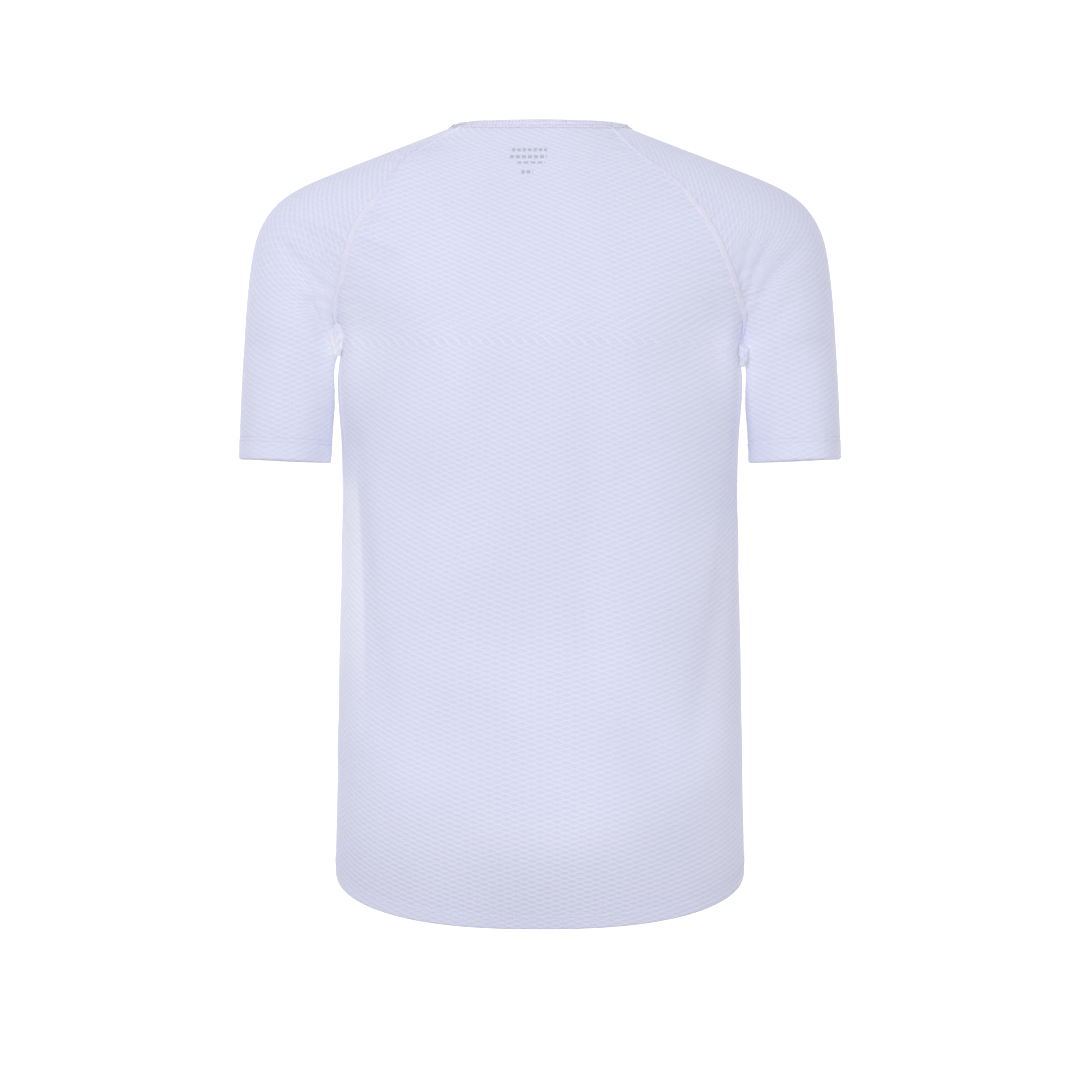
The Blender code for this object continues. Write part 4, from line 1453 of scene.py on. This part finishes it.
# %% Flat seams
THREAD_COLOUR = (0.728, 0.722, 0.862, 1)
RAGLAN_RIBBON = dict(half=0.0035, rise=0.0012)
SIDE_RIBBON = dict(half=0.0020, rise=0.0006)
ARM_RIBBON = dict(half=0.0018, rise=0.0002)
RIBBON_THICK = 0.0006
SEAM_POINTS = 90
SEAMS = {  # two pieces, and the edge of each that is sewn: 0 is the first column, -1 the last
    "left_back_seam": ("back", 0, "left_arm", 0),
    "right_back_seam": ("back", -1, "right_arm", 0),
    "right_front_seam": ("front", 0, "right_arm", -1),
    "left_front_seam": ("front", -1, "left_arm", -1),
    "left_side_seam": ("back", 0, "front", -1),
    "right_side_seam": ("back", -1, "front", 0),
}
seam_thread = make_jersey("seam_thread", THREAD_COLOUR)


def seam_ribbon(name, one, one_next, other, other_next, normals, phase, half, rise):
    """A raised ribbon along a seam, between two edges and the lines next to them.

    Across it, the height is 1 less the fourth power of the place, a fifth lower in the middle,
    and the sides tuck in below the cloth. Where the two pieces meet in a valley, the ribbon spans
    it from a point on one piece to a point on the other."""
    line = (one + other) / 2
    at = lengths_along(line, 0)
    wanted = even_places(at[-1], 0.0016)
    ways = [unit(one_next - one), unit(other_next - other)]
    line, normal = read_along(line, at, wanted), unit(read_along(normals, at, wanted))
    ways = [unit(read_along(way, at, wanted)) for way in ways]
    half = (half * (0.45 + 0.55 * smooth_step((-0.050 - line[:, 2]) / 0.030)))[:, None]
    middle = line + (ways[0] + ways[1]) * half / 2
    place = np.linspace(-1, 1, 13)
    profile = (1 - place**4) * (0.80 + 0.20 * np.sin(math.pi * np.abs(place))) - 0.25 * place**4
    wander = 0.0004 * ripple(wanted, 0.021, phase)[:, None]
    narrow = 1 + 0.12 * ripple(wanted, 0.013, phase + 1)[:, None]
    reach = half * place[:, None, None] * narrow + wander
    grid = middle + (ways[1] - ways[0]) / 2 * reach + normal * (rise * profile)[:, None, None]
    flat = np.broadcast_arrays(wanted[None, :], RAGLAN_RIBBON["half"] * place[:, None])
    return cloth_piece(name, grid, np.stack(flat, axis=-1), seam_thread, thickness=RIBBON_THICK)


def seam_lines(grid, rows, edge):
    """A grid's edge and the line two columns in from it, both at evenly spaced places."""
    inner = {0: 2, -1: -3}[edge]
    at = lengths_along(grid[rows, edge], 0)
    wanted = np.linspace(0, at[-1], SEAM_POINTS)
    return [read_along(grid[rows, which], at, wanted) for which in (edge, inner)]


def sew(name, phase, edges, ribbon):
    """A ribbon between the edges of two pieces, raised along the mean of their normals."""
    lines, normals = [], []
    for piece, edge in edges:
        start = RAGLAN_START[piece]
        rows = slice(0, start + 1) if "side" in name else slice(start, None)
        lines += seam_lines(POINTS[piece], rows, edge)
        normals.append(seam_lines(NORMALS[piece], rows, edge)[0])
    return seam_ribbon(name, *lines, unit(normals[0] + normals[1]), phase, **ribbon)


for phase, (name, (one, one_edge, other, other_edge)) in enumerate(SEAMS.items()):
    ribbon = SIDE_RIBBON if "side" in name else RAGLAN_RIBBON
    sew(name, phase, ((one, one_edge), (other, other_edge)), ribbon)
print("flat seams:", ", ".join(SEAMS))

# %% [markdown]
# ## Under the sleeves
# The sleeve's own seam runs down the inside of the arm, from the underarm to the cuff. It closes
# the tube where the grid's first and last columns meet, so its ribbon needs no second piece.

# %% Sleeve seams
for side, name in ((-1, "left_arm"), (1, "right_arm")):
    rows = slice(0, len(arm_shares) + 1)
    points, normals = POINTS[name][rows], NORMALS[name][rows]
    edges = points[:, 0], points[:, 2], points[:, -1], points[:, -3]
    middle = unit(normals[:, 0] + normals[:, -1])
    seam_ribbon(f"{name}_seam", *edges, middle, side, **ARM_RIBBON)
print("sleeve seams: 2, each", round(1000 * left_up[len(arm_shares), 0]), "mm long")

# %% [markdown]
# ## Where four seams meet
# At each underarm the ends of four seams are drawn together. On the left they turn out as a small
# crumpled tuft. On the right they end in a flap, darker by painted shade, that hangs over the top
# of the gap between arm and body, with its upper end tucked into the seam. Both are leaf-shaped
# patches that bulge and have a few fine pleats along them.

# %% Tufts under the arms
TUFT_COLOUR = (0.725, 0.725, 0.845, 1)
# The flap is darker by painted shade, for the shadow in the underarm
SHADED_FLAP_COLOUR = (0.640, 0.645, 0.815, 1)
PLEAT = 0.0009


def tuft(name, place, half_width, half_height, bulge, lean, tuck, material):
    """A leaf: its half width is a power of 1 - t squared, made uneven by two sines, and its bulge
    falls off across and along. Pleats are a cosine and a sine that run down it at a slant."""
    t, s = np.meshgrid(np.linspace(-1, 1, 41), np.linspace(-1, 1, 29), indexing="ij")
    uneven = 1 + 0.18 * np.sin(4.3 * t + 0.6) + 0.13 * s * np.sin(11 * t + 0.5)
    wide = half_width * (1 - t**2) ** 0.4 * uneven
    pleats = np.cos(8.5 * s + 3.2 * t) + 0.8 * np.sin(5.0 * s - 9.0 * t)
    out = bulge * (1 - s**2) ** 0.7 * (1 - t**2) ** 0.4 + PLEAT * pleats * (1 - t**2)
    out = out - tuck * smooth_step((t - 0.1) / 0.9)
    x = place[0] + wide * s + lean * t
    points = np.stack([x, place[1] - out, place[2] + half_height * t], axis=-1)
    uv = np.stack([half_height * t, half_width * s], axis=-1)
    cloth_piece(name, points, uv, material, thickness=RIBBON_THICK)


tuft(
    "left_tuft",
    place=(-0.1752, -0.0600, -0.1930),
    half_width=0.0070,
    half_height=0.0150,
    bulge=0.0050,
    lean=0.0008,
    tuck=0.0,
    material=make_jersey("tuft_knit", TUFT_COLOUR),
)
tuft(
    "right_tuft",
    place=(0.1759, -0.0625, -0.2040),
    half_width=0.0040,
    half_height=0.0130,
    bulge=0.0024,
    lean=0.0012,
    tuck=0.0100,
    material=make_jersey("shaded_flap_knit", SHADED_FLAP_COLOUR),
)
print("tufts: 2")

# %% [markdown]
# ## Stitches
# Threads show along the hem, the cuffs and the neck band: short arches of thread that dip into
# the cloth at both ends, one after another. The hem and the cuffs have two level rows of them. On
# the band they lie aslant: a row of short ones half way up, and a row of long ones that wraps its
# lower edge. Each thread is a tube of five sides, because there are more than a thousand of them.

# %% Rows of stitches
STITCH_COLOUR = (0.830, 0.830, 0.965, 1)
HEM_STITCH = dict(pitch=0.0028, length=0.0024, lean=0.0, thick=0.00045)
HEM_ROWS = {"upper": 0.0, "lower": 0.0032}  # below the stitch line
BAND_STITCH = dict(pitch=0.0029, lean=1.99, thick=0.0009)
BAND_ROWS = {"upper": (0.55, 0.0030), "lower": (0.08, 0.0058)}  # share of height, and length
BAND_CLEAR = 0.0013  # how far the threads on the band stand out from the neckline
THREAD_RINGS, THREAD_SIDES = 6, 5
stitch_thread = make_jersey("stitch_thread", STITCH_COLOUR)


def stitch_rows(name, line, aside, normal, pitch, length, lean, thick):
    """One arched thread every pitch along a line. Each is a tube along a parabola."""
    at = lengths_along(line, 0)
    wanted = np.arange(pitch / 2, at[-1], pitch)
    line, aside, normal = (read_along(vectors, at, wanted) for vectors in (line, aside, normal))
    onward = unit(np.gradient(line, axis=0))
    way = unit(onward * math.cos(lean) + aside * math.sin(lean))
    beside = unit(np.cross(way, normal))
    t = np.linspace(-1, 1, THREAD_RINGS)[None, :, None, None]
    turn = np.linspace(0, 2 * math.pi, THREAD_SIDES, endpoint=False)[None, None, :, None]
    line, way, beside, normal = (v[:, None, None, :] for v in (line, way, beside, normal))
    radius = thick / 2 * (1 - 0.4 * t**4)
    points = line + way * (t * length / 2) + normal * (thick * 0.8 * (1 - 1.6 * t**2))
    points = points + radius * (beside * np.cos(turn) + normal * np.sin(turn))
    index = np.arange(points[..., 0].size).reshape(points.shape[:-1])
    ahead = np.roll(index, -1, axis=2)
    corners = index[:, :-1], ahead[:, :-1], ahead[:, 1:], index[:, 1:]
    faces = np.stack(corners, axis=-1).reshape(-1, 4)
    piece = make_piece(name, points.reshape(-1, 3), faces, stitch_thread)
    piece.data.uv_layers.new(name="cloth")
    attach(piece, "root")
    return len(wanted)


def level_line(points, normals, up, height):
    """A line across a grid at one height above its first row, with the way up and the normal
    there."""
    row = np.arange(points.shape[1])
    place = np.array([np.interp(height, up[:, i], np.arange(len(up))) for i in row])
    low = np.clip(place.astype(int), 0, len(up) - 2)
    share = (place - low)[:, None]
    line, normal = (
        grid[low, row] * (1 - share) + grid[low + 1, row] * share for grid in (points, normals)
    )
    return line, unit(points[low + 1, row] - points[low, row]), unit(normal)


made = 0
for name, piece, up, turn in (
    ("back_hem", "back", back_up, TAIL_TURN),
    ("front_hem", "front", front_up, TAIL_TURN),
    ("left_cuff", "left_arm", left_up, CUFF_TURN),
    ("right_cuff", "right_arm", right_up, CUFF_TURN),
):
    for row, lowered in HEM_ROWS.items():
        lines = level_line(POINTS[piece], NORMALS[piece], up, turn - lowered)
        made += stitch_rows(f"{name}_{row}_stitches", *lines, **HEM_STITCH)
half_up = band_up * (BAND_WIDTH * lower)[:, None]
for row, (share, length) in BAND_ROWS.items():
    line = sewn_line + half_up * share + band_out * BAND_CLEAR
    lines = line, unit(half_up), band_out
    made += stitch_rows(f"band_{row}_stitches", *lines, length=length, **BAND_STITCH)
print("stitches:", made)

# %% [markdown]
# ## What was made
# The pieces, and how far the finished shirt reaches beyond the solid model on each side, in
# millimetres.

# %% Hand over
new_box = [[float(value) for value in corner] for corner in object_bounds()]
beyond = np.round(1000 * (np.array(new_box) - np.array(cad_box)), 1)
print("beyond the solids in mm:", beyond.tolist())
